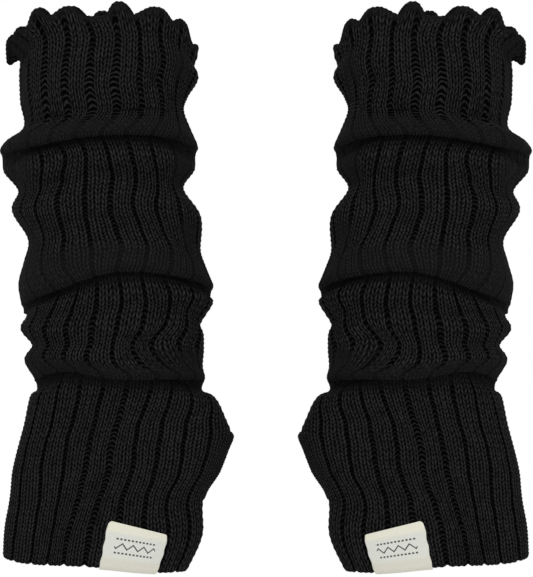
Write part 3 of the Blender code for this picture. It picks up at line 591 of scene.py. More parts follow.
def ladder_openness(ribs, rows):
    """How far the nearest ladder of each column stands open at each row."""
    downs = [RINGS_DOWN[FIRST_RINGS[opening.name]] for opening in OPENINGS]
    shares = smooth_curve(downs, np.array([opening[1:] for opening in OPENINGS]), rows)
    ladders = np.mod(np.round(ribs), RIB_COUNT)
    weights = smooth_curve(QUARTER_RIBS, np.eye(len(QUARTER_RIBS)), ladders + FIRST_LADDER, RIB_COUNT)
    openness = shares[:, :1] * weights[:, :3].sum(axis=1) + shares[:, 1:] @ weights[:, 3:].T
    spread = OPEN_SPREAD * np.sin(SPREAD_SHIFT * ladders + rows[:, None] / SPREAD_LENGTH)
    return np.maximum(openness + spread, LEAST_OPEN)


def ladder_places(ribs, openness):
    """Moves the lattice's columns inwards as the ladders close and the ribs beside them widen."""
    closed = HALF_LADDER * openness
    beside = np.abs(ribs - np.round(ribs))
    rib = closed + (beside - HALF_LADDER) * (0.5 - closed) / (0.5 - HALF_LADDER)
    moved = np.where(beside < HALF_LADDER, beside / HALF_LADDER * closed, rib)
    return np.round(ribs) + np.sign(ribs - np.round(ribs)) * moved


def flattened(around, heights):
    """The share of the knit's relief that the flat patches leave."""
    left = np.ones_like(heights)
    for patch in FLAT_PATCHES:
        aside = ribs_between(around, patch.place) * RIB_PITCH / patch.half_width
        rise = (heights - patch.height) / patch.half_height
        left *= 1 - patch.flatness * np.exp(-(aside**2) - rise**2)
    return left


def outer_face(rows):
    """The knit's outer face: its points, how clearly its stitches show and how open its ladders stand."""
    down = rows[:, None]
    ribs = np.broadcast_to(COLUMNS, (len(rows), len(COLUMNS)))
    relief = np.interp(rows, RINGS_DOWN, RING_RELIEF)[:, None]
    heights = cloth_points(ribs, down)[..., 2]
    relief = relief * smooth_step(down / TOP_FLATTENED) * flattened(ribs + FIRST_LADDER, heights)
    openness = ladder_openness(COLUMNS, rows)
    beside = np.abs(ribs - np.round(ribs))
    raised = RIB_RAISE * relief * smooth_step((beside - RIB_SIDE) / (RIB_TOP - RIB_SIDE))
    sharp = smooth_step((relief - SMOOTHED) / (SHARP - SMOOTHED))
    shown = SMOOTH_STITCH + (1 - SMOOTH_STITCH) * sharp
    long_waver = np.sin(2 * np.pi * down / LONG_WANDER + WANDER_SHIFT * np.round(ribs))
    waver = long_waver + SHORT_SHARE * np.sin(2 * np.pi * down / SHORT_WANDER + np.round(ribs))
    inside_slit = np.minimum(ribs, RIB_COUNT - ribs) / 0.5
    places = ladder_places(ribs, openness) + WANDER * waver * np.clip(inside_slit, 0, 1)
    out = raised + stitches(ribs, down) * shown
    return cloth_points(places, down) + cloth_normals(places, down) * out[..., None], shown, openness


def inner_face_rows(rows):
    """Points of the tube's plain inside at the rows, at every few columns of the lattice."""
    ribs = COLUMNS[INNER_COLUMNS]
    found = []
    for number, down in enumerate(rows):
        square = number in (0, len(rows) - 1)
        normals = cloth_normals(ribs, down) if square else row_normals(ribs, rows, number)
        found.append(cloth_points(ribs, down) - normals * WALL)
    return np.array(found)


def linear(hex_colour):
    """The linear colour, with full alpha, of an sRGB hex code."""
    channels = [int(hex_colour[place:place + 2], 16) / 255 for place in (1, 3, 5)]
    return tuple(((c + 0.055) / 1.055) ** 2.4 if c > 0.04045 else c / 12.92 for c in channels) + (1.0,)


def add_node(material, kind, links=None, **settings):
    """Adds a node, sets its own settings, and joins or sets its inputs."""
    node = material.node_tree.nodes.new(kind)
    for name, value in settings.items():
        setattr(node, name, value)
    for name, value in (links or {}).items():
        if isinstance(value, bpy.types.NodeSocket):
            material.node_tree.links.new(value, node.inputs[name])
        else:
            node.inputs[name].default_value = value
    return node


def new_material(name, roughness, shine):
    """A plain dull or shiny material, and its shader."""
    material = bpy.data.materials.new(name)
    material.use_nodes = True
    shader = material.node_tree.nodes["Principled BSDF"]
    shader.inputs["Roughness"].default_value = roughness
    shader.inputs["Specular IOR Level"].default_value = shine
    return material, shader


def sums(material):
    """Gives the material's own function for one step of the sums that place a pattern."""

    def step(operation, first, second=0.0, third=0.0):
        links = {0: first, 1: second, 2: third}
        return add_node(material, "ShaderNodeMath", links, operation=operation).outputs[0]

    return step


def noise(material, size, detail):
    """Soft random light and dark places, a size in millimetres across."""
    place = add_node(material, "ShaderNodeTexCoord")
    links = {"Vector": place.outputs["Object"], "Scale": 1 / (size * MILLIMETRE), "Detail": detail}
    return add_node(material, "ShaderNodeTexNoise", links).outputs["Fac"]


def ramp(material, place, stops, interpolation="LINEAR"):
    """Colours that follow a value, from stops in order."""
    node = add_node(material, "ShaderNodeValToRGB", {"Fac": place})
    node.color_ramp.interpolation = interpolation
    for element, (spot, colour) in zip(node.color_ramp.elements, (stops[0], stops[-1])):
        element.position = spot
        element.color = colour
    for spot, colour in stops[1:-1]:
        node.color_ramp.elements.new(spot).color = colour
    return node.outputs["Color"]


def finish_material(material, shader, colour, height, strength, depth):
    """Gives the shader its colour and a fine bump, a depth in millimetres."""
    links = {"Height": height, "Strength": strength, "Distance": depth * MILLIMETRE}
    bump = add_node(material, "ShaderNodeBump", links)
    material.node_tree.links.new(colour, shader.inputs["Base Color"])
    material.node_tree.links.new(bump.outputs["Normal"], shader.inputs["Normal"])


def black_acrylic_rib_knit():
    """Soft-spun black acrylic: dull and fuzzy, each stitch painted lighter than the gap beside it, as
    painted highlight and shade.
    """
    material, shader = new_material("black_acrylic_rib_knit", 0.95, 0.03)
    step = sums(material)
    clear = add_node(material, "ShaderNodeAttribute", attribute_name="yarn").outputs["Fac"]
    open_ladder = add_node(material, "ShaderNodeAttribute", attribute_name="open").outputs["Fac"]
    inside = add_node(material, "ShaderNodeAttribute", attribute_name="inside").outputs["Fac"]
    place = add_node(material, "ShaderNodeTexCoord")
    cloth = add_node(material, "ShaderNodeSeparateXYZ", {"Vector": place.outputs["UV"]})

    def cosine(turns):
        """Runs from 0 to 1 and back with each whole turn."""
        wave = step("COSINE", step("MULTIPLY", turns, 2 * math.pi))
        return step("MULTIPLY_ADD", wave, 0.5, 0.5)

    def mix(share, first, second):
        """Goes from the first value to the second as the share goes from 0 to 1."""
        links = {0: share, 2: first, 3: second}
        return add_node(material, "ShaderNodeMix", links, data_type="FLOAT").outputs[0]

    drift = noise(material, COURSE_DRIFT, 1.0)
    wander = step("MULTIPLY_ADD", drift, COURSE_WOBBLE, -COURSE_WOBBLE / 2)
    courses = step("MULTIPLY_ADD", cloth.outputs["Y"], -1 / (COURSE * MILLIMETRE), wander)
    from_ladder = step("PINGPONG", cloth.outputs["X"], REPEAT / 2 * MILLIMETRE)
    across_rib = step("MULTIPLY_ADD", from_ladder, 1 / (WALE * MILLIMETRE), -LADDER / 2 / WALE)
    on_rib = step("GREATER_THAN", across_rib, 0.0)
    aside = step("ABSOLUTE", step("SUBTRACT", step("FRACT", across_rib), 0.5))
    # Painted light on the knit: highlights along the legs, and shade between them and in the ladders.
    leg_stops = [(spot, (light, light, light, 1.0)) for spot, light in zip(LEG_PLACES, LEG_LIGHTS)]
    legs = ramp(material, aside, leg_stops, "EASE")
    leg_turn = cosine(step("MULTIPLY_ADD", aside, STITCH_SLANT, courses))
    knit = step("MULTIPLY", legs, step("MULTIPLY_ADD", leg_turn, 1 - LEG_DARKEST, LEG_DARKEST))
    across_ladder = step("DIVIDE", from_ladder, LADDER / 2 * MILLIMETRE)
    bow = step("MULTIPLY", step("POWER", across_ladder, 2.0), -RUNG_BOW)
    rung = step("POWER", cosine(step("ADD", courses, bow)), RUNG_FINENESS)
    rung_light = step("MULTIPLY", step("MULTIPLY", rung, RUNG_LIGHT), open_ladder)
    cloud = noise(material, YARN_CLOUD, 1.0)
    unevenness = step("MULTIPLY_ADD", cloud, 2 * STITCH_UNEVENNESS, 1 - STITCH_UNEVENNESS)
    stitch = step("MULTIPLY", mix(on_rib, rung_light, knit), unevenness)
    # Where the cloth is stretched smooth, this painted light fades to an even tone, the ladders' sooner.
    ladder_power = step("MULTIPLY_ADD", on_rib, 1 - LADDER_FADING, LADDER_FADING)
    outside = mix(step("POWER", clear, ladder_power), SMOOTH_LIGHT, stitch)
    # The inside's purl: painted highlights on its bumps, painted shade between rows and at bump sides;
    # ladders darker.
    purl_row = step("MULTIPLY_ADD", cosine(courses), PURL_LIGHT, PURL_DARKEST)
    purl_bump = step("MULTIPLY_ADD", step("MULTIPLY", aside, 2.0), -PURL_ROUNDNESS, 1.0)
    purl_fall = step("MULTIPLY_ADD", on_rib, 1 - PURL_LADDER, PURL_LADDER)
    purl = step("MULTIPLY", step("MULTIPLY", purl_row, purl_bump), purl_fall)
    fibres = noise(material, TUFT, 2.0)
    fuzz = step("MULTIPLY_ADD", fibres, FUZZ, -FUZZ / 2)
    tone = step("ADD", mix(inside, outside, purl), fuzz)
    black = ramp(material, tone, [(0.04, linear("#010101")), (0.95, linear("#2E2E2F"))])
    finish_material(material, shader, black, fibres, 0.5, 0.4)
    return material


class Cloth:
    """Points of one piece, in millimetres about one arm, with its faces and what its material reads."""

    def __init__(self):
        self.points = []
        self.yarn = []
        self.open = []
        self.inside = []
        self.faces = []
        self.uvs = []

    def add(self, points, yarn, opened=1.0, inside=0.0):
        """Adds points and returns the number of the first."""
        first = len(self.points)
        self.points.extend(points)
        self.yarn.extend(np.broadcast_to(yarn, len(points)))
        self.open.extend(np.broadcast_to(opened, len(points)))
        self.inside.extend([inside] * len(points))
        return first

    def face(self, corners, uvs):
        """Adds one face, with a place on the flat cloth for each corner."""
        self.faces.append(corners)
        self.uvs.extend(uvs)

    def make_object(self, name, side, material):
        """The piece as a Blender object, on the left (-1) or mirrored on the right (+1) of the pair."""
        points = np.array(self.points, float)
        points[:, 0] = side * (ARM_SPACING / 2 - points[:, 0])
        points[:, 2] -= HELD_HEIGHT
        uvs = np.array(self.uvs) * MILLIMETRE
        faces = self.faces
        if side > 0:
            faces = [face[::-1] for face in faces]
            ends = np.cumsum([len(face) for face in faces])
            starts = [0, *ends[:-1]]
            order = np.concatenate([np.arange(end - 1, start - 1, -1) for start, end in zip(starts, ends)])
            uvs = uvs[order]
        mesh = bpy.data.meshes.new(name)
        mesh.from_pydata((points * MILLIMETRE).tolist(), [], faces)
        mesh.uv_layers.new(name="cloth")
        mesh.uv_layers["cloth"].data.foreach_set("uv", uvs.ravel())
        # yarn: how strongly the knit's painted stitch light shows; the overlock's tone, painted shade and
        # highlights.
        for label, values in (("yarn", self.yarn), ("open", self.open), ("inside", self.inside)):
            mesh.attributes.new(label, "FLOAT", "POINT")
            mesh.attributes[label].data.foreach_set("value", np.array(values, np.float32))
        mesh.shade_smooth()
        mesh.materials.append(material)
        piece = bpy.data.objects.new(name, mesh)
        bpy.context.scene.collection.objects.link(piece)
        return piece


def row_numbers(first, count, columns):
    """The numbers of a row's points; a row that isn't slit ends on the point where it starts."""
    numbers = list(range(first, first + count))
    return numbers if count == columns else numbers + [first]


def lay_faces(cloth, rows, downs, across, outward=True):
    """Joins rows of points with faces, placed on the flat cloth by how far down and across they lie."""
    for upper, lower, top, foot in zip(rows, rows[1:], downs, downs[1:]):
        for i, (left, right) in enumerate(zip(across, across[1:])):
            corners = [upper[i], lower[i], lower[i + 1], upper[i + 1]]
            uvs = [(left, -top), (left, -foot), (right, -foot), (right, -top)]
            cloth.face(corners if outward else corners[::-1], uvs if outward else uvs[::-1])


def sleeve_shell(rows, inner_rows, slit=None, hem=False):
    """One stretch of the tube: its knit outer face, its plain inside, and the rims that close it."""
    cloth = Cloth()
    points, shown, openness = outer_face(rows)
    inner_points = inner_face_rows(inner_rows)
    outer = []
    inner = []

    def beside_slit(down, margin):
        return slit is not None and slit[0] - margin < down < slit[1] + margin

    for number, down in enumerate(rows):
        count = len(COLUMNS) - (not beside_slit(down, -TINY))
        first = cloth.add(points[number, :count], shown[number, :count], openness[number, :count])
        outer.append(row_numbers(first, count, len(COLUMNS)))
    for number, down in enumerate(inner_rows):
        count = len(INNER_COLUMNS) - (not beside_slit(down, -TINY))
        first = cloth.add(inner_points[number, :count], INNER_CLARITY, inside=1.0)
        inner.append(row_numbers(first, count, len(INNER_COLUMNS)))
    across = COLUMNS * REPEAT
    lay_faces(cloth, outer, rows, across)
    lay_faces(cloth, inner, inner_rows, across[INNER_COLUMNS], outward=False)
    slit_outer = [number for number, down in enumerate(rows) if beside_slit(down, TINY)]
    slit_inner = [number for number, down in enumerate(inner_rows) if beside_slit(down, TINY)]
    for a, b, c, d in zip(slit_outer, slit_outer[1:], slit_inner, slit_inner[1:]):
        top, foot = rows[a], rows[b]
        cloth.face(
            [outer[a][0], inner[c][0], inner[d][0], outer[b][0]],
            [(0, -top), (-WALL, -top), (-WALL, -foot), (0, -foot)],
        )
        cloth.face(
            [inner[c][-1], outer[a][-1], outer[b][-1], inner[d][-1]],
            [(-WALL, -top), (0, -top), (0, -foot), (-WALL, -foot)],
        )
    edge = hem_rim(cloth, points[-1], inner_points[-1], outer[-1]) if hem else outer[-1]
    close_rim(cloth, edge, inner[-1], rows[-1], True)
    close_rim(cloth, outer[0], inner[0], rows[0], False)
    return cloth


def hem_rim(cloth, outer, inner, edge):
    """Rounds the cast-on edge, which swells below each rib, dips at each ladder and bumps at each stitch."""
    kept = COLUMNS[INNER_COLUMNS]
    inside = np.stack([np.interp(COLUMNS, kept, inner[:, axis]) for axis in range(3)], axis=1)
    here = cloth_points(COLUMNS, CLOTH_LENGTH)
    way = here - cloth_points(COLUMNS, CLOTH_LENGTH - 4 * NORMAL_STEP)
    way /= np.linalg.norm(way, axis=1)[:, None]
    beside = np.abs(COLUMNS - np.round(COLUMNS))
    place = (beside - HALF_LADDER) / (WALE / REPEAT)
    bumps = np.where(place > 0, 0.5 - 0.5 * np.cos(2 * np.pi * place), 0)
    dent = HEM_DENT * (1 - smooth_step(beside / HEM_DENT_REACH))
    swell = HEM_SWELL - dent + CAST_ON_BUMP * bumps
    middle = (outer + inside) / 2
    for turn in np.radians(HEM_TURNS):
        points = middle + (outer - middle) * np.cos(turn) + way * (swell * np.sin(turn))[:, None]
        first = cloth.add(points[:-1], HEM_CLARITY)
        ring = row_numbers(first, len(COLUMNS) - 1, len(COLUMNS))
        foot = CLOTH_LENGTH + turn
        lay_faces(cloth, [edge, ring], [foot - 0.6, foot], COLUMNS * REPEAT)
        edge = ring
    return edge


def close_rim(cloth, outer, inner, down, facing_down):
    """Closes the wall between a full outer ring and the inner ring, which has only some of its columns."""
    for i, (start, end) in enumerate(zip(INNER_COLUMNS, INNER_COLUMNS[1:])):
        middle = (start + end) // 2
        fans = [[outer[j], inner[i + (j >= middle)], outer[j + 1]] for j in range(start, end)]
        fans.append([outer[middle], inner[i], inner[i + 1]])
        for fan in fans:
            cloth.face(fan if facing_down else fan[::-1], [(COLUMNS[start] * REPEAT, -down)] * 3)


def inner_stops(top, foot, extra=()):
    """Rows of the inside: the ends, the folds' rings between them, and more where those lie far apart."""
    rings = [down for down in RINGS_DOWN if top + 1 < down < foot - 1]
    stops = sorted({top, foot, *rings, *extra})
    rows = [stops[0]]
    for above, below in zip(stops, stops[1:]):
        steps = max(1, math.ceil((below - above) / INNER_ROW))
        rows.extend(np.linspace(above, below, steps + 1)[1:])
    return np.array(rows)


SLEEVE_TOP = 0.8
SLIT_TOP = THUMB_DOWN - THUMB_SLIT / 2
SLIT_FOOT = THUMB_DOWN + THUMB_SLIT / 2
first_row = SLIT_TOP - ROW_STEP * math.floor((SLIT_TOP - SLEEVE_TOP) / ROW_STEP)
lattice_rows = np.arange(first_row, CLOTH_LENGTH - 0.3, ROW_STEP)
tucks = [FIRST_RINGS[fold.name] + TUCK_RING for fold in FOLDS if fold.tuck]
cuts = [int(np.argmin(np.abs(lattice_rows - RINGS_DOWN[tuck]))) for tuck in tucks]

rib_knit = black_acrylic_rib_knit()
shell_cloths = []
for name, start, end in zip(
    ("cuff", "upper_forearm", "lower_forearm", "hand"),
    [0, *cuts],
    [*cuts, len(lattice_rows) - 1],
):
    rows = lattice_rows[start:end + 1].copy()
    rows[0] += CUT_GAP if start else SLEEVE_TOP - rows[0]
    rows[-1] = CLOTH_LENGTH if name == "hand" else rows[-1] - CUT_GAP
    slit = None
    slit_rows = ()
    if name == "hand":
        slit = (SLIT_TOP, SLIT_FOOT)
        slit_rows = rows[(rows > SLIT_TOP - TINY) & (rows < SLIT_FOOT + TINY)]
    inner_rows = inner_stops(rows[0], rows[-1], slit_rows)
    if name == "hand":
        above = inner_rows[inner_rows <= SLIT_TOP - TINY]
        below = inner_rows[inner_rows >= SLIT_FOOT + TINY]
        inner_rows = np.concatenate([above, slit_rows, below])
    shell_cloths.append((name, sleeve_shell(rows, inner_rows, slit, hem=name == "hand"), rows[-1] - rows[0]))

SIDES = ((-1, "left"), (1, "right"))
for side, side_name in SIDES:
    for name, cloth, length in shell_cloths:
        piece = cloth.make_object(f"{side_name}_sleeve_{name}", side, rib_knit)
        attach(piece, "root")
        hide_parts(f"{side_name}_sleeve")

# Frill edging: the narrow overlocked edge of the elbow end, sewn in black thread while the knit was pulled
# long, so that it ripples. Its threads lie close together over the cut edge, a little thicker than the knit.
FRILL_BAND = 2.6
FRILL_EDGING_SWELL = 0.4
FRILL_SEARCH = np.linspace(0, 4, 21)
FRILL_COLUMNS = 1000
EDGING_SIDES = 12
THREAD_PITCH = 1.3
THREAD_SLANT = 0.35
THREAD_RELIEF = 0.05
SCALLOP = 0.4
SCALLOP_PITCH = 2.6
SQUARENESS = 0.6
# Painted shade where the band turns over its edge, and a painted highlight on each thread's ridge.
EDGE_PAINTED_SHADE = 0.9
THREAD_TUFT = 0.6
THREAD_FUZZ = 0.4
THREAD_LIGHT = 0.45
RIDGE_LIGHT = 0.15
EDGE_START = 0.6  # how far up the band its darker edge starts


def overlock_yarn():
    """Texturised polyester overlock thread: fine, a little glossier than the knit, in slanting ridges."""
    material, shader = new_material("black_overlock_thread", 0.9, 0.05)
    step = sums(material)
    yarn = add_node(material, "ShaderNodeAttribute", attribute_name="yarn")
    fibres = noise(material, THREAD_TUFT, 2.0)
    tone = step("ADD", yarn.outputs["Fac"], step("MULTIPLY_ADD", fibres, THREAD_FUZZ, -THREAD_FUZZ / 2))
    black = ramp(material, tone, [(0.0, linear("#030303")), (1.0, linear("#212122"))])
    finish_material(material, shader, black, fibres, 0.4, 0.3)
    return material


def overlocked_edge(line, up, out, half_height, half_thickness):
    """A closed band of overlock threads along a closed line: up points over the edge, out from the wall."""
    cloth = Cloth()
    step = np.linalg.norm(np.roll(line, -1, axis=0) - line, axis=1)
    run = np.concatenate([[0.0], np.cumsum(step)[:-1]])
    threads = round(step.sum() / THREAD_PITCH)
    phase = run / step.sum() * threads
    scallops = round(step.sum() / SCALLOP_PITCH)
    scallop = SCALLOP * np.abs(np.sin(np.pi * run / step.sum() * scallops))
    rings = []
    for number in range(EDGING_SIDES):
        turn = 2 * np.pi * number / EDGING_SIDES
        rise = np.sign(np.sin(turn)) * np.abs(np.sin(turn)) ** SQUARENESS
        swell = np.sign(np.cos(turn)) * np.abs(np.cos(turn)) ** SQUARENESS
        ridge = np.cos(2 * np.pi * (phase + THREAD_SLANT * rise))
        size = (1 + THREAD_RELIEF * ridge)[:, None]
        tall = half_height + (scallop - SCALLOP) * max(rise, 0)
        points = line + up * (tall * rise)[:, None] * size + out * half_thickness * swell * size
        # The thread's tone, with painted shade over the edge and a painted highlight on each ridge.
        light = THREAD_LIGHT - EDGE_PAINTED_SHADE * max(rise - EDGE_START, 0) + RIDGE_LIGHT * ridge
        rings.append(cloth.add(points, light))
    count = len(line)
    for number, (upper, lower) in enumerate(zip(rings, rings[1:] + rings[:1])):
        for i in range(count):
            j = (i + 1) % count
            along = i * step.mean()
            beyond = along + step[i]
            cloth.face(
                [upper + i, lower + i, lower + j, upper + j],
                [(along, number), (along, number + 1), (beyond, number + 1), (beyond, number)],
            )
    return cloth


ribs = np.linspace(0, RIB_COUNT, FRILL_COLUMNS + 1)[:-1]
frill_top = cloth_points(ribs, 0)
frill_lengths = np.linalg.norm(cloth_points(ribs, FRILL_SEARCH[:, None]) - frill_top, axis=2)
frill_down = np.array([np.interp(FRILL_BAND, lengths, FRILL_SEARCH) for lengths in frill_lengths.T])
frill_foot = cloth_points(ribs, frill_down)
frill_out = cloth_normals(ribs, frill_down / 2)
frill_height = np.linalg.norm(frill_top - frill_foot, axis=1)
frill_cloth = overlocked_edge(
    (frill_top + frill_foot) / 2 - frill_out * WALL / 2,
    (frill_top - frill_foot) / frill_height[:, None],
    frill_out,
    frill_height / 2,
    WALL / 2 + FRILL_EDGING_SWELL,
)
overlock = overlock_yarn()
for side, side_name in SIDES:
    piece = frill_cloth.make_object(f"{side_name}_frill_overlock", side, overlock)
    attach(piece, "root")
    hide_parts(f"{side_name}_frill_edging")

# Thumb edging: the gap left in the knit for the thumb is overlocked all round in the same thread, as a firm
# bead that grips both faces of the wall.
THUMB_COLUMNS = 420
THUMB_EDGING_INWARD = 0.9
THUMB_EDGING_RADIUS = 1.75

turn = np.arange(THUMB_COLUMNS) * 2 * np.pi / THUMB_COLUMNS
rim_ribs = np.where(turn < np.pi, 0.0, float(RIB_COUNT))
rim_down = THUMB_DOWN - THUMB_SLIT / 2 * np.cos(turn)
rim = cloth_points(rim_ribs, rim_down)
rim_out = cloth_normals(rim_ribs, rim_down)
along = np.roll(rim, -1, axis=0) - np.roll(rim, 1, axis=0)
along /= np.linalg.norm(along, axis=1)[:, None]
inward = np.cross(rim_out, along)
inward *= np.sign(((rim.mean(axis=0) - rim) * inward).sum(axis=1))[:, None]
inward /= np.linalg.norm(inward, axis=1)[:, None]
thumb_cloth = overlocked_edge(
    rim - rim_out * WALL / 2 + inward * THUMB_EDGING_INWARD,
    inward,
    rim_out,
    THUMB_EDGING_RADIUS,
    THUMB_EDGING_RADIUS,
)
for side, side_name in SIDES:
    piece = thumb_cloth.make_object(f"{side_name}_thumb_overlock", side, overlock)
    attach(piece, "root")
    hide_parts(f"{side_name}_thumb_edging")

# Label: a damask-woven polyester strip, folded over the hand hem at the front and sewn to it, cream at both
# ends and greyer white between, with a plain woven border pattern of the weaver's stock kind.
LABEL_WIDTH = 30.0
LABEL_HEIGHT = 20.2  # of cloth that its middle covers
LABEL_SLANT = 0.34  # how much more of the cloth its outer side covers than its thumb side, as a share
LABEL_THICKNESS = 0.8
LABEL_PLACE = 16.77
LABEL_GAP = 0.5
LABEL_BACK_GAP = 0.4
LABEL_HEM_DROP = 0.3
LABEL_COLUMNS = 56
LABEL_ROWS = 44
LABEL_CORNER = 1.6
LABEL_WAVER = 0.18
WAVER_TURN = 0.9
FOLD_RUN = 4.0
FOLD_TURNS = (30, 60, 90, 120, 150)  # degrees round the hem
ZIGZAG_RISE = 2.6
BORDER_LINE = 3.3  # from the label's middle
BORDER_DASH = 0.9
BORDER_THREAD = 0.42
BORDER_LENGTH = 20.0
DASH_GAP = 0.4
WEFT_PITCH = 0.55


def inside_facet(ribs, down):
    """Points on the tube's plain inside, between its ribs."""
    first = np.floor(ribs)
    share = (ribs - first)[..., None]
    left = cloth_points(first, down) - cloth_normals(first, down) * WALL
    right = cloth_points(first + 1, down) - cloth_normals(first + 1, down) * WALL
    return left * (1 - share) + right * share


def label_strip(lift, rows, columns):
    """One face of the label, lifted off the cloth: front panel, fold and back panel, with each row's run."""
    rings = []
    runs = []
    hem_ribs = columns * LABEL_WIDTH / RIB_PITCH + LABEL_PLACE
    hem = cloth_points(hem_ribs, CLOTH_LENGTH)
    way = hem - cloth_points(hem_ribs, CLOTH_LENGTH - 4 * NORMAL_STEP)
    way /= np.linalg.norm(way, axis=1)[:, None]
    for panel in ("front", "back"):
        heights = np.linspace(LABEL_HEIGHT, 0, rows + 1)
        for height in heights if panel == "front" else heights[::-1]:
            corner = np.clip((height - LABEL_HEIGHT + LABEL_CORNER) / LABEL_CORNER, 0, 1)
            narrow = 1 - 2 * LABEL_CORNER / LABEL_WIDTH * (1 - math.sqrt(1 - corner**2))
            side_waver = LABEL_WAVER * math.sin(height * WAVER_TURN) / LABEL_WIDTH * 2
            ribs = columns * (narrow + side_waver) * LABEL_WIDTH / RIB_PITCH + LABEL_PLACE
            down = CLOTH_LENGTH - height * (1 - LABEL_SLANT * columns)
            normals = cloth_normals(ribs, down)
            if panel == "front":
                rings.append(cloth_points(ribs, down) + normals * (RIB_RAISE + lift))
                runs.append(height)
            else:
                rings.append(inside_facet(ribs, down) - normals * (lift + LABEL_BACK_GAP))
                runs.append(-height - FOLD_RUN)
        if panel == "front":
            normals = cloth_normals(hem_ribs, CLOTH_LENGTH)
            back = inside_facet(hem_ribs, CLOTH_LENGTH)
            outer = hem + normals * (RIB_RAISE + lift)
            inner = back - normals * (lift + LABEL_BACK_GAP)
            middle = (outer + inner) / 2
            for turn in np.radians(FOLD_TURNS):
                drop = (lift + LABEL_HEM_DROP + HEM_SWELL / 2) * np.sin(turn)
                rings.append(middle + (outer - middle) * np.cos(turn) + way * drop)
                runs.append(-FOLD_RUN * turn / np.pi)
    return np.array(rings), np.array(runs)


def label_cloth():
    """The folded strip with its thickness, closed at its edges."""
    cloth = Cloth()
    columns = np.linspace(-0.5, 0.5, LABEL_COLUMNS + 1)
    grids = []
    for lift in (LABEL_GAP, LABEL_GAP + LABEL_THICKNESS):
        rings, runs = label_strip(lift, LABEL_ROWS, columns)
        firsts = [cloth.add(ring, 0.5) for ring in rings]
        grids.append([list(range(first, first + len(columns))) for first in firsts])
    near, far = grids
    place = columns * LABEL_WIDTH
    lay_faces(cloth, far, -runs, place)
    lay_faces(cloth, near, -runs, place, outward=False)
    for i in range(LABEL_COLUMNS):
        uvs = [(place[i], LABEL_HEIGHT)] * 4
        cloth.face([near[0][i], far[0][i], far[0][i + 1], near[0][i + 1]], uvs)
        cloth.face([far[-1][i], near[-1][i], near[-1][i + 1], far[-1][i + 1]], uvs)
    for number in range(len(near) - 1):
        uvs = [(place[0], runs[number])] * 4
        cloth.face([near[number][0], near[number + 1][0], far[number + 1][0], far[number][0]], uvs)
        cloth.face([far[number][-1], far[number + 1][-1], near[number + 1][-1], near[number][-1]], uvs)
    return cloth


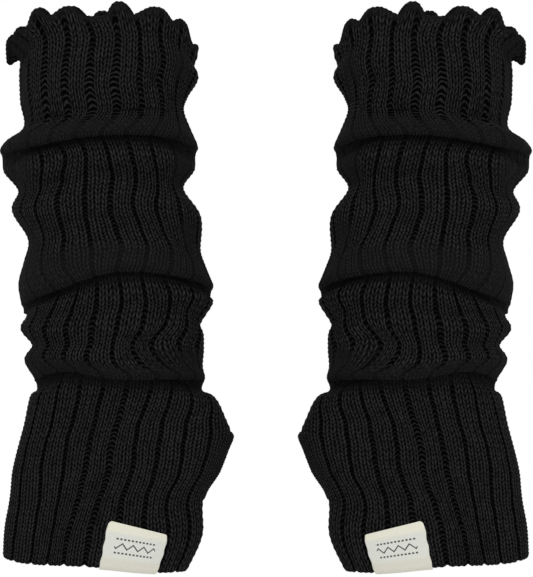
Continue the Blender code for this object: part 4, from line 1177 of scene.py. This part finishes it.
def damask_woven_label():
    """Damask-woven polyester: smooth, faintly satiny, cream and greyish white, with a dark grey border."""
    material, shader = new_material("damask_woven_polyester", 0.7, 0.2)
    step = sums(material)
    place = add_node(material, "ShaderNodeTexCoord")
    cloth = add_node(material, "ShaderNodeSeparateXYZ", {"Vector": place.outputs["UV"]})
    height = step("MULTIPLY", cloth.outputs["Y"], 1 / (LABEL_HEIGHT * MILLIMETRE))
    # The lower cream end, the fold and the back are painted darker than the upper end: painted shade of the
    # fold.
    stops = ((0.16, "#CBC9BC"), (0.24, "#CECFC6"), (0.76, "#CECFC6"), (0.84, "#D8D6C6"))
    bands = ramp(material, height, [(spot, linear(colour)) for spot, colour in stops])
    across = step("MULTIPLY_ADD", cloth.outputs["X"], 1 / MILLIMETRE, LABEL_WIDTH)
    up = step("MULTIPLY_ADD", cloth.outputs["Y"], 1 / MILLIMETRE, -LABEL_HEIGHT / 2)
    zigzag = step("PINGPONG", across, ZIGZAG_RISE)
    on_zigzag = step("COMPARE", step("ADD", up, ZIGZAG_RISE / 2), zigzag, BORDER_THREAD)
    on_line = step("COMPARE", step("ABSOLUTE", up), BORDER_LINE, BORDER_THREAD)
    on_dash = step("GREATER_THAN", step("PINGPONG", across, BORDER_DASH), BORDER_DASH * DASH_GAP)
    marks = step("MAXIMUM", on_zigzag, step("MULTIPLY", on_line, on_dash))
    in_border = step("COMPARE", across, LABEL_WIDTH, BORDER_LENGTH / 2)
    links = {0: step("MULTIPLY", marks, in_border), 6: bands, 7: linear("#4A4A4C")}
    colours = add_node(material, "ShaderNodeMix", links, data_type="RGBA").outputs[2]
    weft = step("SINE", step("MULTIPLY", up, 2 * math.pi / WEFT_PITCH))
    finish_material(material, shader, colours, weft, 0.3, 0.1)
    return material


label_mesh = label_cloth()
woven = damask_woven_label()
labels = {}
for side, side_name in SIDES:
    piece = label_mesh.make_object(f"{side_name}_woven_label", side, woven)
    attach(piece, "root")
    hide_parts(f"{side_name}_label")
    labels[side_name] = piece

# Studio: a plain pale floor well below the pair, an even white surround and two soft lamps, one above the
# camera's left and a weaker one from the right.
FLOOR_SIZE = 4.0
FLOOR_HEIGHT = -0.6

bpy.ops.mesh.primitive_plane_add(size=FLOOR_SIZE, location=(0, 0, FLOOR_HEIGHT))
floor = bpy.context.object
floor.name = "studio_floor"
bpy.ops.object.transform_apply(location=True, rotation=True, scale=True)
floor_paint = bpy.data.materials.new("matt_studio_floor")
floor_paint.use_nodes = True
floor_paint.node_tree.nodes["Principled BSDF"].inputs["Base Color"].default_value = linear("#EFEFEF")
floor_paint.node_tree.nodes["Principled BSDF"].inputs["Roughness"].default_value = 0.9
floor.data.materials.append(floor_paint)

world = bpy.data.worlds.new("even_white_surround")
world.use_nodes = True
world.node_tree.nodes["Background"].inputs["Color"].default_value = (1, 1, 1, 1)
world.node_tree.nodes["Background"].inputs["Strength"].default_value = 1.0
bpy.context.scene.world = world

for name, place, size, power in (
    ("key_softbox", (-0.9, -1.6, 1.7), 1.2, 9.0),
    ("fill_softbox", (1.3, -1.5, 0.4), 1.2, 3.0),
):
    bpy.ops.object.light_add(type="AREA", location=place)
    lamp = bpy.context.object
    lamp.name = name
    lamp.data.shape = "DISK"
    lamp.data.size = size
    lamp.data.energy = power
    aim = -np.array(place)
    lamp.rotation_euler = (
        math.acos(-aim[2] / np.linalg.norm(aim)),
        0,
        math.atan2(aim[1], aim[0]) - math.pi / 2,
    )
bpy.context.scene.view_settings.view_transform = "Standard"
bpy.ops.object.select_all(action="DESELECT")
